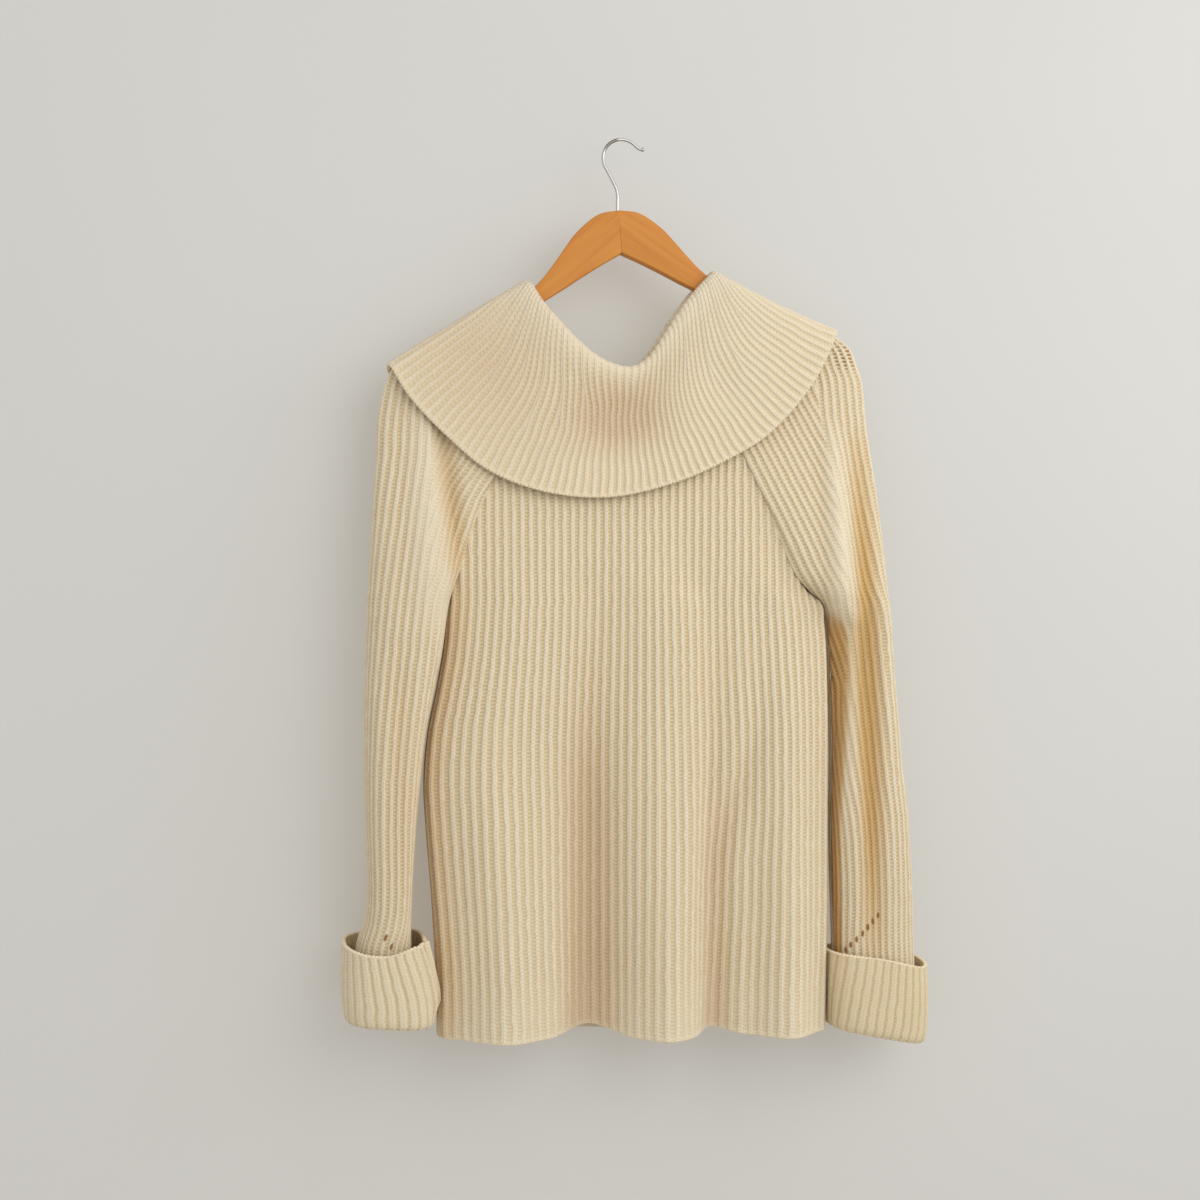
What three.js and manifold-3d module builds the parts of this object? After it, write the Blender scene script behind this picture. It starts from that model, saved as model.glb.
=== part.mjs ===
// Raglan cowl neck sweater in thick rib knit, hanging on a mitred wooden hanger with a wire hook.
// Millimetres, +Z up. The origin is the inside top of the hook. X runs along the hanger's arms,
// -Y is the front of the sweater, +Y its back. "Left" and "right" are as seen from the front.
import * as THREE from "three";
import Module from "manifold-3d";

const wasm = await Module();
wasm.setup();

// ---- Driving dimensions ----
const CLOTH = 2.6; // thickness of the knitted wall
const SEAM_GAP = 0.3; // between two pieces at a seam
const UNDERARM_Z = -441;
const NECK_SIDE_Z = -226; // where the raglan seams reach the neckline
const HEM_Z = -846;
const NECK_DROP = 24; // how much lower the front neckline is at its middle
const FLUTE_TOP_Z = -330; // the body's flutes fade out here
const FLUTE_POWER = 1.5; // how the flutes grow towards the hem
const HEM_FALL = 12; // how much lower the hem hangs at the right than at the left
const HEM_FALL_FROM = 0.35; // place across the panel where the hem is at its own level
const HEM_LIFT = 0.3; // rise of the hem for each millimetre that a flute is set back
const LAYER_STEP = 8; // height between the collar's two layers where it rides over the hanger

const HANGER = {
  hubZ: -67, // top of the wood under the hook
  roll: 4.5, // degrees, right arm up
  thickness: 11.5,
  edgeRound: 2.5,
  mitreGap: 0.3,
  hookHole: 1.9, // radius of the bore for the hook's shank
  shankDepth: 24,
};
const HOOK = {
  wire: 1.5, // radius
  radius: 18.5, // of the bend, to the wire's middle
  arcStart: 216, // degrees, anticlockwise from +X
  arcEnd: 42,
  arcSteps: 10,
  shankX: -4.5,
  shankLevels: [-75, -60, -50], // straight up to here
  neck: { x: -6.5, z: -44 }, // where the wire leaves the shank
  tipReach: { x: 5, z: -3 }, // the turned-out tip, from the end of the bend
  tipBall: 2.1,
};

const CREAM_WOOL = { color: 0xe9dcb6, roughness: 0.95, metalness: 0 };
const VARNISHED_WOOD = { color: 0xc87a2c, roughness: 0.35, metalness: 0 };
const CHROME = { color: 0xc9cbcd, roughness: 0.2, metalness: 1 };

// ---- Tables of the garment's form: a row for each level ----
// Raglan seams: where each seam lies across the body, and the depth of its front and back line.
const RAGLAN = [
  { z: -226, left: -74, right: 78, front: -12.8, back: 12.8 },
  { z: -265, left: -93, right: 98, front: -12.9, back: 12.8 },
  { z: -306, left: -115, right: 120, front: -13, back: 12.6 },
  { z: -345, left: -137, right: 139, front: -13.4, back: 12 },
  { z: -385, left: -152, right: 157, front: -12.5, back: 10 },
  { z: -412, left: -158.5, right: 169, front: -9, back: 7.5 },
  { z: -430, left: -162.5, right: 181, front: -4.5, back: 4.5 },
  { z: -441, left: -165, right: 197, front: 0, back: 0 },
];
// Body below the underarms: the side seams and the mean depth of each panel.
const BODY = [
  { z: -226, left: -74, right: 78, front: -12.8, back: 12.8 },
  { z: -306, left: -115, right: 120, front: -13.6, back: 13 },
  { z: -385, left: -152, right: 157, front: -16, back: 13.4 },
  { z: -441, left: -165, right: 197, front: -18, back: 14 },
  { z: -458, left: -166.5, right: 200.5, front: -18.5, back: 14.5 },
  { z: -485, left: -169, right: 204, front: -19, back: 15 },
  { z: -520, left: -175, right: 205.5, front: -19.5, back: 15.5 },
  { z: -560, left: -183, right: 206, front: -20, back: 16 },
  { z: -605, left: -187, right: 206, front: -20, back: 17 },
  { z: -650, left: -185, right: 206, front: -20, back: 18 },
  { z: -700, left: -181, right: 206, front: -20, back: 19 },
  { z: -750, left: -177, right: 205.5, front: -20, back: 20 },
  { z: -795, left: -174.5, right: 204.5, front: -20, back: 21 },
  { z: -846, left: -174.5, right: 203, front: -20, back: 22 },
];
// Flutes of the hem: place across the panel, half-width, and how far forward (+) or back (-).
const FRONT_FLUTES = [
  { at: 0.155, reach: 0.14, forward: 24 },
  { at: 0.38, reach: 0.12, forward: -25 },
  { at: 0.566, reach: 0.12, forward: 25 },
  { at: 0.7, reach: 0.08, forward: -15 },
  { at: 0.885, reach: 0.11, forward: 25 },
];
const BACK_FLUTES = [
  { at: 0.24, reach: 0.15, forward: -13 },
  { at: 0.5, reach: 0.14, forward: 7 },
  { at: 0.77, reach: 0.15, forward: -14 },
];

// Sleeves: inner and outer side, depth of the front and the back, how square the section is,
// and how far the front is carried sideways past the back. Above the underarm the inner side is
// the raglan seam or the neckline.
const SLEEVE_LEFT = [
  { z: -160, inner: -109, outer: -119, front: -12.6, back: 12.6, square: 3, skew: 0 },
  { z: -174, inner: -102, outer: -145, front: -12.7, back: 12.7, square: 4, skew: 0 },
  { z: -191, inner: -93, outer: -176, front: -12.8, back: 12.8, square: 4.5, skew: 0 },
  { z: -208, inner: -83.5, outer: -199, front: -12.8, back: 12.8, square: 4.5, skew: 0 },
  { z: -226, inner: -74, outer: -217, front: -12.9, back: 12.9, square: 4.5, skew: 0 },
  { z: -265, inner: -93, outer: -227, front: -14, back: 13.2, square: 4, skew: 0 },
  { z: -306, inner: -115, outer: -231, front: -18, back: 15, square: 3.5, skew: 0 },
  { z: -345, inner: -137, outer: -234, front: -24, back: 18, square: 3, skew: 0 },
  { z: -385, inner: -152, outer: -236, front: -31, back: 22, square: 2.8, skew: 2 },
  { z: -412, inner: -158.5, outer: -238, front: -35, back: 25, square: 2.6, skew: 3 },
  { z: -430, inner: -165.6, outer: -239, front: -37, back: 27, square: 2.5, skew: 4 },
  { z: -441, inner: -168.4, outer: -239.5, front: -38, back: 28, square: 2.5, skew: 4 },
  { z: -458, inner: -171.5, outer: -240, front: -39, back: 30, square: 2.5, skew: 3 },
  { z: -485, inner: -175, outer: -241, front: -40, back: 32, square: 2.5, skew: 2 },
  { z: -520, inner: -182, outer: -242, front: -41, back: 34, square: 2.5, skew: 1 },
  { z: -560, inner: -190, outer: -242, front: -42, back: 36, square: 2.5, skew: 0 },
  { z: -605, inner: -195, outer: -242, front: -42, back: 36, square: 2.5, skew: 0 },
  { z: -650, inner: -199, outer: -241, front: -40, back: 35, square: 2.5, skew: 0 },
  { z: -700, inner: -202, outer: -239.5, front: -38, back: 33, square: 2.5, skew: 0 },
  { z: -730, inner: -203, outer: -241.5, front: -37, back: 32, square: 2.5, skew: 0 },
  { z: -755, inner: -203, outer: -249, front: -37, back: 32, square: 2.5, skew: 0 },
  { z: -784, inner: -200, outer: -252, front: -38, back: 32, square: 2.5, skew: 0 },
];
const SLEEVE_RIGHT = [
  { z: -139, inner: 107, outer: 117, front: -12.4, back: 12, square: 3, skew: 0 },
  { z: -156, inner: 103, outer: 150, front: -12.7, back: 12.7, square: 4, skew: 0 },
  { z: -172, inner: 99, outer: 190.5, front: -12.8, back: 12.8, square: 4.5, skew: 0 },
  { z: -190, inner: 92, outer: 223, front: -12.8, back: 12.8, square: 4.5, skew: 0 },
  { z: -208, inner: 85, outer: 233, front: -12.8, back: 12.8, square: 4.5, skew: 0 },
  { z: -226, inner: 78, outer: 239, front: -12.9, back: 12.9, square: 4.5, skew: 0 },
  { z: -265, inner: 98, outer: 246, front: -14, back: 13.2, square: 4, skew: 0 },
  { z: -306, inner: 120, outer: 253, front: -18, back: 15, square: 3.5, skew: 0 },
  { z: -345, inner: 139, outer: 260, front: -23, back: 18, square: 3, skew: 2 },
  { z: -385, inner: 157, outer: 266, front: -28, back: 22, square: 2.8, skew: 5 },
  { z: -412, inner: 169, outer: 270, front: -31, back: 25, square: 2.6, skew: 7 },
  { z: -430, inner: 188.6, outer: 272, front: -33, back: 27, square: 2.5, skew: 8 },
  { z: -441, inner: 201.2, outer: 273, front: -34, back: 28, square: 2.5, skew: 8 },
  { z: -458, inner: 206, outer: 275, front: -34, back: 29, square: 2.5, skew: 8 },
  { z: -485, inner: 209.5, outer: 277, front: -34, back: 30, square: 2.5, skew: 7 },
  { z: -520, inner: 211, outer: 280, front: -34, back: 31, square: 2.5, skew: 6 },
  { z: -560, inner: 212, outer: 284, front: -34, back: 31, square: 2.5, skew: 4 },
  { z: -605, inner: 213, outer: 288, front: -33, back: 30, square: 2.5, skew: 2 },
  { z: -650, inner: 214, outer: 294, front: -32, back: 28, square: 2.5, skew: 0 },
  { z: -700, inner: 217, outer: 297.5, front: -30, back: 26, square: 2.5, skew: 0 },
  { z: -735, inner: 220, outer: 298.5, front: -28, back: 25, square: 2.5, skew: 0 },
  { z: -770, inner: 222, outer: 299.5, front: -27, back: 24, square: 2.5, skew: 0 },
  { z: -806, inner: 223, outer: 301, front: -27, back: 24, square: 2.5, skew: 0 },
];
// Lengthwise creases of the sleeves' fronts: place from the inner to the outer side, half-width,
// the levels between which each runs, and how far forward (+) or back (-) it stands.
const CREASES_LEFT = [
  { at: 0.42, reach: 0.24, top: -250, bottom: -470, forward: 6 },
  { at: 0.12, reach: 0.16, top: -330, bottom: -560, forward: -7 },
  { at: 0.55, reach: 0.2, top: -470, bottom: -740, forward: -5 },
];
const CREASES_RIGHT = [
  { at: 0.35, reach: 0.18, top: -270, bottom: -470, forward: 7 },
  { at: 0.66, reach: 0.2, top: -280, bottom: -730, forward: -9 },
];

// Turned-back cuffs, from the seam inside, down to the fold, and up to the rim.
// Each row is a ring: its sides, front and back, height at its middle, and fall from left to right.
const CUFF_LEFT = [
  { left: -252, right: -200, front: -38, back: 32, z: -784, fall: 0 },
  { left: -255, right: -194, front: -40, back: 34, z: -804, fall: 0 },
  { left: -258.5, right: -189, front: -43, back: 37, z: -819, fall: 1 },
  { left: -262, right: -185, front: -46, back: 40, z: -823.5, fall: 2 },
  { left: -264.5, right: -182, front: -48.5, back: 42.5, z: -819, fall: 3 },
  { left: -266, right: -181, front: -49.5, back: 43.5, z: -800, fall: 3 },
  { left: -266.5, right: -183, front: -49, back: 43, z: -775, fall: 4 },
  { left: -266, right: -186.5, front: -48, back: 42, z: -746, fall: 6 },
];
const CUFF_RIGHT = [
  { left: 223, right: 301, front: -27, back: 24, z: -806, fall: 0 },
  { left: 220, right: 303, front: -28.5, back: 25.5, z: -831, fall: 10 },
  { left: 216, right: 305.5, front: -30, back: 27, z: -850, fall: 20 },
  { left: 213, right: 308, front: -32, back: 29, z: -855.5, fall: 24 },
  { left: 210.5, right: 310, front: -34, back: 31, z: -851, fall: 24 },
  { left: 209.5, right: 311.5, front: -35, back: 32, z: -832, fall: 24 },
  { left: 209.5, right: 312, front: -35, back: 32, z: -808, fall: 22 },
  { left: 209.5, right: 311, front: -34, back: 31, z: -780, fall: 20 },
];

// Collar: three lines round the neck, each from the left shoulder (0) to the right shoulder (1).
// The seam line lies just inside the neckline, the fold line is the top of the roll, and the
// edge line is the free edge of the turned-down cape.
const COLLAR_LINES = [
  { at: 0, seamX: -118, seamZ: -161, foldX: -91, foldZ: -140.5, edgeX: -221, edgeZ: -223 },
  { at: 0.1, seamX: -104, seamZ: -180, foldX: -81, foldZ: -157, edgeX: -203, edgeZ: -252 },
  { at: 0.2, seamX: -90, seamZ: -204, foldX: -66, foldZ: -174, edgeX: -171, edgeZ: -285 },
  { at: 0.3, seamX: -72, seamZ: -230, foldX: -46, foldZ: -194, edgeX: -131, edgeZ: -317 },
  { at: 0.4, seamX: -38, seamZ: -248, foldX: -23, foldZ: -211, edgeX: -78, edgeZ: -336 },
  { at: 0.5, seamX: 2, seamZ: -253, foldX: 3, foldZ: -218, edgeX: -18, edgeZ: -340 },
  { at: 0.6, seamX: 42, seamZ: -248, foldX: 22, foldZ: -209, edgeX: 41, edgeZ: -327 },
  { at: 0.7, seamX: 75, seamZ: -230, foldX: 38, foldZ: -187, edgeX: 93, edgeZ: -305 },
  { at: 0.8, seamX: 92, seamZ: -200, foldX: 53, foldZ: -164, edgeX: 140, edgeZ: -276 },
  { at: 0.9, seamX: 103, seamZ: -170, foldX: 70, foldZ: -142, edgeX: 181, edgeZ: -230 },
  { at: 1, seamX: 114, seamZ: -140, foldX: 87, foldZ: -124.5, edgeX: 210, edgeZ: -178 },
];
// Profile of the collar: place between the seam line and the fold line (stand) or between the
// fold line and the edge line (cape), and the layer's depth at the front and the back.
const COLLAR_PROFILE = [
  { layer: "stand", at: 0, front: 9.8, back: 9.8 },
  { layer: "stand", at: 0.5, front: 9.6, back: 9.6 },
  { layer: "stand", at: 0.86, front: 10, back: 9.9 },
  { layer: "stand", at: 1, front: 14.2, back: 13.6 },
  { layer: "cape", at: 0.05, front: 18.6, back: 17.6 },
  { layer: "cape", at: 0.22, front: 19.4, back: 18 },
  { layer: "cape", at: 0.42, front: 19.6, back: 18 },
  { layer: "cape", at: 0.62, front: 20.4, back: 18.8 },
  { layer: "cape", at: 0.82, front: 22, back: 20 },
  { layer: "cape", at: 1, front: 24.5, back: 22 },
];
const CAPE_SWELL = 7; // how far the cape rises over a straight line along the shoulder
const CAPE_STEP_END = 0.05; // place on the cape by which it has cleared the stand

// Hanger arm from the hub outwards: distance from the middle, top and underside below the hub.
const ARM = [
  { x: 0, top: 0, under: -46 },
  { x: 20, top: -3.5, under: -55 },
  { x: 41, top: -18.5, under: -65 },
  { x: 54, top: -33.5, under: -71.5 },
  { x: 64, top: -46, under: -76 },
  { x: 76, top: -59.5, under: -82 },
  { x: 92, top: -73.5, under: -90 },
  { x: 134, top: -97.5, under: -112 },
  { x: 172, top: -116, under: -133 },
  { x: 204, top: -138, under: -152 },
  { x: 216, top: -150, under: -158 },
];

// Reads a column of a table between its rows on a smooth curve through them.
function readColumn(table, key, column, value) {
  const falling = table[0][key] > table[table.length - 1][key];
  const sign = falling ? -1 : 1;
  let i = 0;
  while (i < table.length - 2 && sign * value > sign * table[i + 1][key]) i += 1;
  const at = (k) => table[Math.min(Math.max(k, 0), table.length - 1)];
  const [a, b, c, d] = [at(i - 1), at(i), at(i + 1), at(i + 2)];
  const span = c[key] - b[key];
  const t = THREE.MathUtils.clamp((value - b[key]) / span, 0, 1);
  const slopeIn = c === a ? 0 : ((c[column] - a[column]) / (c[key] - a[key])) * span;
  const slopeOut = d === b ? 0 : ((d[column] - b[column]) / (d[key] - b[key])) * span;
  const t2 = t * t;
  const t3 = t2 * t;
  return (
    (2 * t3 - 3 * t2 + 1) * b[column] +
    (t3 - 2 * t2 + t) * slopeIn +
    (3 * t2 - 2 * t3) * c[column] +
    (t3 - t2) * slopeOut
  );
}

const smooth = (t) => THREE.MathUtils.smoothstep(t, 0, 1);

const CREASE_FADE = 0.7; // how evenly a crease runs before it fades at its ends

// A soft ridge or trough, 1 at its middle and 0 from `reach` outwards.
const swell = (distance, reach) => smooth(1 - Math.abs(distance) / reach);

// One side of a flattened tube between its two edges: angle 0 is the first edge, PI the second.
// `flat(u)` is the side's depth and `edge(u)` the depth of the edge line at fraction u.
function tubeSide(angle, square, first, second, flat, edge) {
  const cos = Math.cos(angle);
  const u = (1 - cos) / 2;
  const rise = Math.max(1 - Math.abs(cos) ** square, 0) ** (1 / square);
  const base = edge(u);
  return { x: first + (second - first) * u, y: base + (flat(u) - base) * rise, u };
}

// ---- Body panels ----
const BODY_SQUARE = 5;

function bodyEdge(z, side, face) {
  const table = z > UNDERARM_Z ? RAGLAN : BODY;
  const x = readColumn(table, "z", side, z);
  return { x, y: z > UNDERARM_Z ? readColumn(RAGLAN, "z", face, z) : 0 };
}

function fluteDepth(flutes, u, z) {
  const below = THREE.MathUtils.clamp((FLUTE_TOP_Z - z) / (FLUTE_TOP_Z - HEM_Z), 0, 1);
  const growth = below ** FLUTE_POWER;
  return flutes.reduce((sum, f) => sum + f.forward * swell(u - f.at, f.reach), 0) * growth;
}

// A point of the front or back panel: `angle` runs from the left edge to the right edge.
function bodyPoint(face, angle, level) {
  const flutes = face === "front" ? FRONT_FLUTES : BACK_FLUTES;
  const left = bodyEdge(level, "left", face);
  const right = bodyEdge(level, "right", face);
  const depth = readColumn(BODY, "z", face, level);
  const flat = (u) => depth - fluteDepth(flutes, u, level);
  const edge = (u) => left.y + (right.y - left.y) * smooth(u);
  const { x, y, u } = tubeSide(angle, BODY_SQUARE, left.x, right.x, flat, edge);
  const lift = face === "front" ? HEM_LIFT * Math.max(0, -fluteDepth(flutes, u, level)) : 0;
  const neck = level > NECK_SIDE_Z - 1 ? NECK_DROP * (1 - (2 * u - 1) ** 2) : 0;
  const fall = HEM_FALL * (u - HEM_FALL_FROM) * smooth((UNDERARM_Z - level) / (UNDERARM_Z - HEM_Z));
  return new THREE.Vector3(x, y, level + lift - neck - fall);
}

const BODY_LEVELS = [...RAGLAN, ...BODY.filter(({ z }) => z < UNDERARM_Z)].map(({ z }) => z);

function bodyPanel(face, columns) {
  return BODY_LEVELS.map((level) =>
    Array.from({ length: columns + 1 }, (_, i) => bodyPoint(face, (Math.PI * i) / columns, level)),
  );
}

// ---- Sleeves ----
function sleevePoint(table, creases, turn, z) {
  const row = (column) => readColumn(table, "z", column, z);
  const [inner, outer, front, back] = ["inner", "outer", "front", "back"].map(row);
  const middle = (front + back) / 2;
  const seam = (face) => {
    if (z > NECK_SIDE_Z) return row(face);
    return z > UNDERARM_Z ? readColumn(RAGLAN, "z", face, z) : 0;
  };
  const isFront = turn <= 0.5;
  const face = isFront ? "front" : "back";
  const innerY = seam(face);
  const edge = (u) => innerY + (middle - innerY) * smooth(u);
  const crease = (u) =>
    creases.reduce((sum, c) => {
      const along = (z - c.bottom) / (c.top - c.bottom);
      const fade = along > 0 && along < 1 ? Math.sin(Math.PI * along) ** CREASE_FADE : 0;
      return sum + c.forward * swell(u - c.at, c.reach) * fade;
    }, 0);
  const flat = (u) => (isFront ? front - crease(u) : back);
  const angle = 2 * Math.PI * (isFront ? turn : 1 - turn);
  const { x, y } = tubeSide(angle, row("square"), inner, outer, flat, edge);
  const isRaglan = z > UNDERARM_Z;
  const lean = (row("skew") * (middle - y)) / ((back - front) / 2);
  const held = isRaglan ? swell(x - inner, Math.abs(outer - inner) / 2) : 0;
  return new THREE.Vector3(x + lean * (1 - held), y, z);
}

function sleeveGrid(table, creases, columns) {
  return table.map(({ z }) =>
    Array.from({ length: columns + 1 }, (_, i) => sleevePoint(table, creases, i / columns, z)),
  );
}

// ---- Cuffs ----
const CUFF_SQUARE = 2.5;

function cuffGrid(table, columns) {
  return table.map((ring) =>
    Array.from({ length: columns }, (_, i) => {
      const angle = (2 * Math.PI * i) / columns;
      const across = -Math.cos(angle);
      const half = (1 - Math.abs(across) ** CUFF_SQUARE) ** (1 / CUFF_SQUARE);
      const rise = Math.sign(Math.sin(angle)) * half;
      const x = (ring.left + ring.right) / 2 + (across * (ring.right - ring.left)) / 2;
      const y = (ring.front + ring.back) / 2 - (rise * (ring.back - ring.front)) / 2;
      return new THREE.Vector3(x, y, ring.z - (ring.fall * across) / 2);
    }),
  );
}

// ---- Collar ----
const COLLAR_SQUARE = 7;

function collarPoint(profile, turn) {
  const isFront = turn <= 0.5;
  const angle = 2 * Math.PI * (isFront ? turn : 1 - turn);
  const cos = Math.cos(angle);
  const at = (1 - cos) / 2;
  const rise = Math.max(1 - Math.abs(cos) ** COLLAR_SQUARE, 0) ** (1 / COLLAR_SQUARE);
  const line = (column) => readColumn(COLLAR_LINES, "at", column, at);
  const [from, to] = profile.layer === "stand" ? ["seam", "fold"] : ["fold", "edge"];
  const x = THREE.MathUtils.lerp(line(from + "X"), line(to + "X"), profile.at);
  const straightZ = THREE.MathUtils.lerp(line(from + "Z"), line(to + "Z"), profile.at);
  const ridge = profile.layer === "cape" ? CAPE_SWELL * 4 * profile.at * (1 - profile.at) : 0;
  const step = profile.layer === "cape" ? smooth(profile.at / CAPE_STEP_END) : 0;
  const y = isFront ? -profile.front * rise : profile.back * rise;
  return new THREE.Vector3(x, y, straightZ + ridge + (LAYER_STEP / 2) * step * (1 - rise));
}

function collarGrid(columns) {
  return COLLAR_PROFILE.map((profile) =>
    Array.from({ length: columns }, (_, i) => collarPoint(profile, i / columns)),
  );
}

// ---- Walls of cloth from grids of points ----
// A grid is a list of rows of points, seen from outside with its rows running down and its
// columns running to the right. A ring's columns close on themselves.
function gridNormals(grid, isRing) {
  const rows = grid.length;
  const columns = grid[0].length;
  const column = (j) => (isRing ? (j + columns) % columns : THREE.MathUtils.clamp(j, 0, columns - 1));
  return grid.map((row, i) =>
    row.map((_, j) => {
      const across = grid[i][column(j + 1)].clone().sub(grid[i][column(j - 1)]);
      const down = grid[Math.min(i + 1, rows - 1)][j].clone().sub(grid[Math.max(i - 1, 0)][j]);
      return down.cross(across).normalize();
    }),
  );
}

// Where pieces meet at a seam, all of them take the same direction through the cloth, or
// straight down where opposite walls meet.
const SAME_PLACE = 0.05; // points nearer than this are one point of a seam
const FACING_AWAY = 0.5; // a shorter sum of directions comes from opposite walls

function shareSeamNormals(pieces) {
  const shared = new Map();
  const keyOf = (p) => [p.x, p.y, p.z].map((v) => Math.round(v / SAME_PLACE)).join(",");
  for (const { grid, normals } of pieces) {
    grid.forEach((row, i) =>
      row.forEach((p, j) => {
        const key = keyOf(p);
        if (!shared.has(key)) shared.set(key, new THREE.Vector3());
        shared.get(key).add(normals[i][j]);
      }),
    );
  }
  for (const { grid, normals } of pieces) {
    grid.forEach((row, i) =>
      row.forEach((p, j) => {
        const sum = shared.get(keyOf(p)).clone();
        if (sum.length() < FACING_AWAY) sum.set(0, 0, -1);
        normals[i][j] = sum.normalize();
      }),
    );
  }
}

// Draws the outermost points of an open grid back from the seam.
const DRAWN_BACK = 0.6; // share of the seam's gap, a little over half

function drawBack(grid, isRing) {
  const rows = grid.length;
  const columns = grid[0].length;
  return grid.map((row, i) =>
    row.map((p, j) => {
      const pulled = p.clone();
      const towards = (q) => pulled.add(q.clone().sub(p).setLength(SEAM_GAP * DRAWN_BACK));
      if (i === 0) towards(grid[1][j]);
      if (i === rows - 1) towards(grid[rows - 2][j]);
      if (!isRing && j === 0) towards(grid[i][1]);
      if (!isRing && j === columns - 1) towards(grid[i][columns - 2]);
      return pulled;
    }),
  );
}

function wallGeometry(grid, normals, isRing) {
  const rows = grid.length;
  const columns = grid[0].length;
  const positions = [];
  for (const side of [1, -1]) {
    grid.forEach((row, i) =>
      row.forEach((p, j) => {
        positions.push(...p.clone().addScaledVector(normals[i][j], (side * CLOTH) / 2).toArray());
      }),
    );
  }
  const index = [];
  const inner = rows * columns;
  const quad = (a, b, c, d) => index.push(a, b, c, a, c, d);
  const id = (i, j) => i * columns + (j % columns);
  const spans = isRing ? columns : columns - 1;
  for (let i = 0; i < rows - 1; i += 1) {
    for (let j = 0; j < spans; j += 1) {
      const [a, b, c, d] = [id(i, j), id(i + 1, j), id(i + 1, j + 1), id(i, j + 1)];
      quad(a, b, c, d);
      quad(inner + a, inner + d, inner + c, inner + b);
    }
  }
  for (let j = 0; j < spans; j += 1) {
    const [top, topNext] = [id(0, j), id(0, j + 1)];
    quad(top, topNext, inner + topNext, inner + top);
    const [low, lowNext] = [id(rows - 1, j), id(rows - 1, j + 1)];
    quad(lowNext, low, inner + low, inner + lowNext);
  }
  if (!isRing) {
    for (let i = 0; i < rows - 1; i += 1) {
      const [left, leftNext] = [id(i, 0), id(i + 1, 0)];
      quad(leftNext, left, inner + left, inner + leftNext);
      const [right, rightNext] = [id(i, columns - 1), id(i + 1, columns - 1)];
      quad(right, rightNext, inner + rightNext, inner + right);
    }
  }
  const geometry = new THREE.BufferGeometry();
  geometry.setAttribute("position", new THREE.Float32BufferAttribute(positions, 3));
  geometry.setIndex(index);
  geometry.computeVertexNormals();
  return geometry;
}

// ---- Hanger ----
function toSolid(geometry) {
  const source = geometry.index ? geometry.toNonIndexed() : geometry;
  const points = source.getAttribute("position");
  const known = new Map();
  const vertices = [];
  const triangles = [];
  for (let i = 0; i < points.count; i += 1) {
    const point = [points.getX(i), points.getY(i), points.getZ(i)];
    const key = point.map((v) => Math.round(v * 1e4)).join(",");
    if (!known.has(key)) {
      known.set(key, vertices.length / 3);
      vertices.push(...point);
    }
    triangles.push(known.get(key));
  }
  const vertProperties = new Float32Array(vertices);
  const triVerts = new Uint32Array(triangles);
  return new wasm.Manifold(new wasm.Mesh({ numProp: 3, vertProperties, triVerts }));
}

function toGeometry(solid) {
  const mesh = solid.getMesh();
  const geometry = new THREE.BufferGeometry();
  geometry.setAttribute("position", new THREE.BufferAttribute(mesh.vertProperties, 3));
  geometry.setIndex(new THREE.BufferAttribute(mesh.triVerts, 1));
  geometry.computeVertexNormals();
  return geometry;
}

// One arm of the hanger, mitred at the middle and bored for half of the hook's shank.
function hangerArm(side) {
  const inner = HANGER.edgeRound;
  const start = HANGER.mitreGap / 2 + inner;
  const top = ARM.slice(1).map(({ x, top: y }) => new THREE.Vector2(side * x, y - inner));
  const under = ARM.slice(1).map(({ x, under: y }) => new THREE.Vector2(side * x, y + inner));
  const outline = [
    new THREE.Vector2(side * start, ARM[0].under + inner),
    ...under,
    ...top.reverse(),
    new THREE.Vector2(side * start, ARM[0].top - inner),
  ];
  const geometry = new THREE.ExtrudeGeometry(new THREE.Shape(outline), {
    depth: HANGER.thickness - 2 * inner,
    bevelThickness: inner,
    bevelSize: inner,
    bevelSegments: 2,
    steps: 1,
  });
  geometry.rotateX(Math.PI / 2);
  geometry.translate(0, HANGER.thickness / 2 - inner, 0);
  const bore = new THREE.CylinderGeometry(HANGER.hookHole, HANGER.hookHole, HANGER.shankDepth * 2, 12);
  bore.rotateX(Math.PI / 2);
  bore.rotateY(THREE.MathUtils.degToRad(HANGER.roll));
  const turned = toSolid(geometry);
  const arm = toGeometry(turned.subtract(toSolid(bore)));
  arm.rotateY(THREE.MathUtils.degToRad(-HANGER.roll));
  arm.translate(HOOK.shankX, 0, HANGER.hubZ);
  return arm;
}

// The hook's wire: a straight shank, a neck bent to the left, most of a circle whose inside top
// is the origin, and a short tip turned out.
function hookPath() {
  const { radius, wire, shankX, shankLevels, neck, arcStart, arcEnd, arcSteps, tipReach } = HOOK;
  const centreZ = wire - radius;
  const shankEnd = HANGER.hubZ - HANGER.shankDepth + 1;
  const points = [shankEnd, ...shankLevels].map((z) => new THREE.Vector3(shankX, 0, z));
  points.push(new THREE.Vector3(neck.x, 0, neck.z));
  for (let i = 0; i <= arcSteps; i += 1) {
    const angle = THREE.MathUtils.degToRad(arcStart + ((arcEnd - arcStart) * i) / arcSteps);
    points.push(new THREE.Vector3(radius * Math.cos(angle), 0, centreZ + radius * Math.sin(angle)));
  }
  const last = points[points.length - 1];
  points.push(new THREE.Vector3(last.x + tipReach.x, 0, last.z + tipReach.z));
  return new THREE.CatmullRomCurve3(points, false, "centripetal");
}

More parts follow.
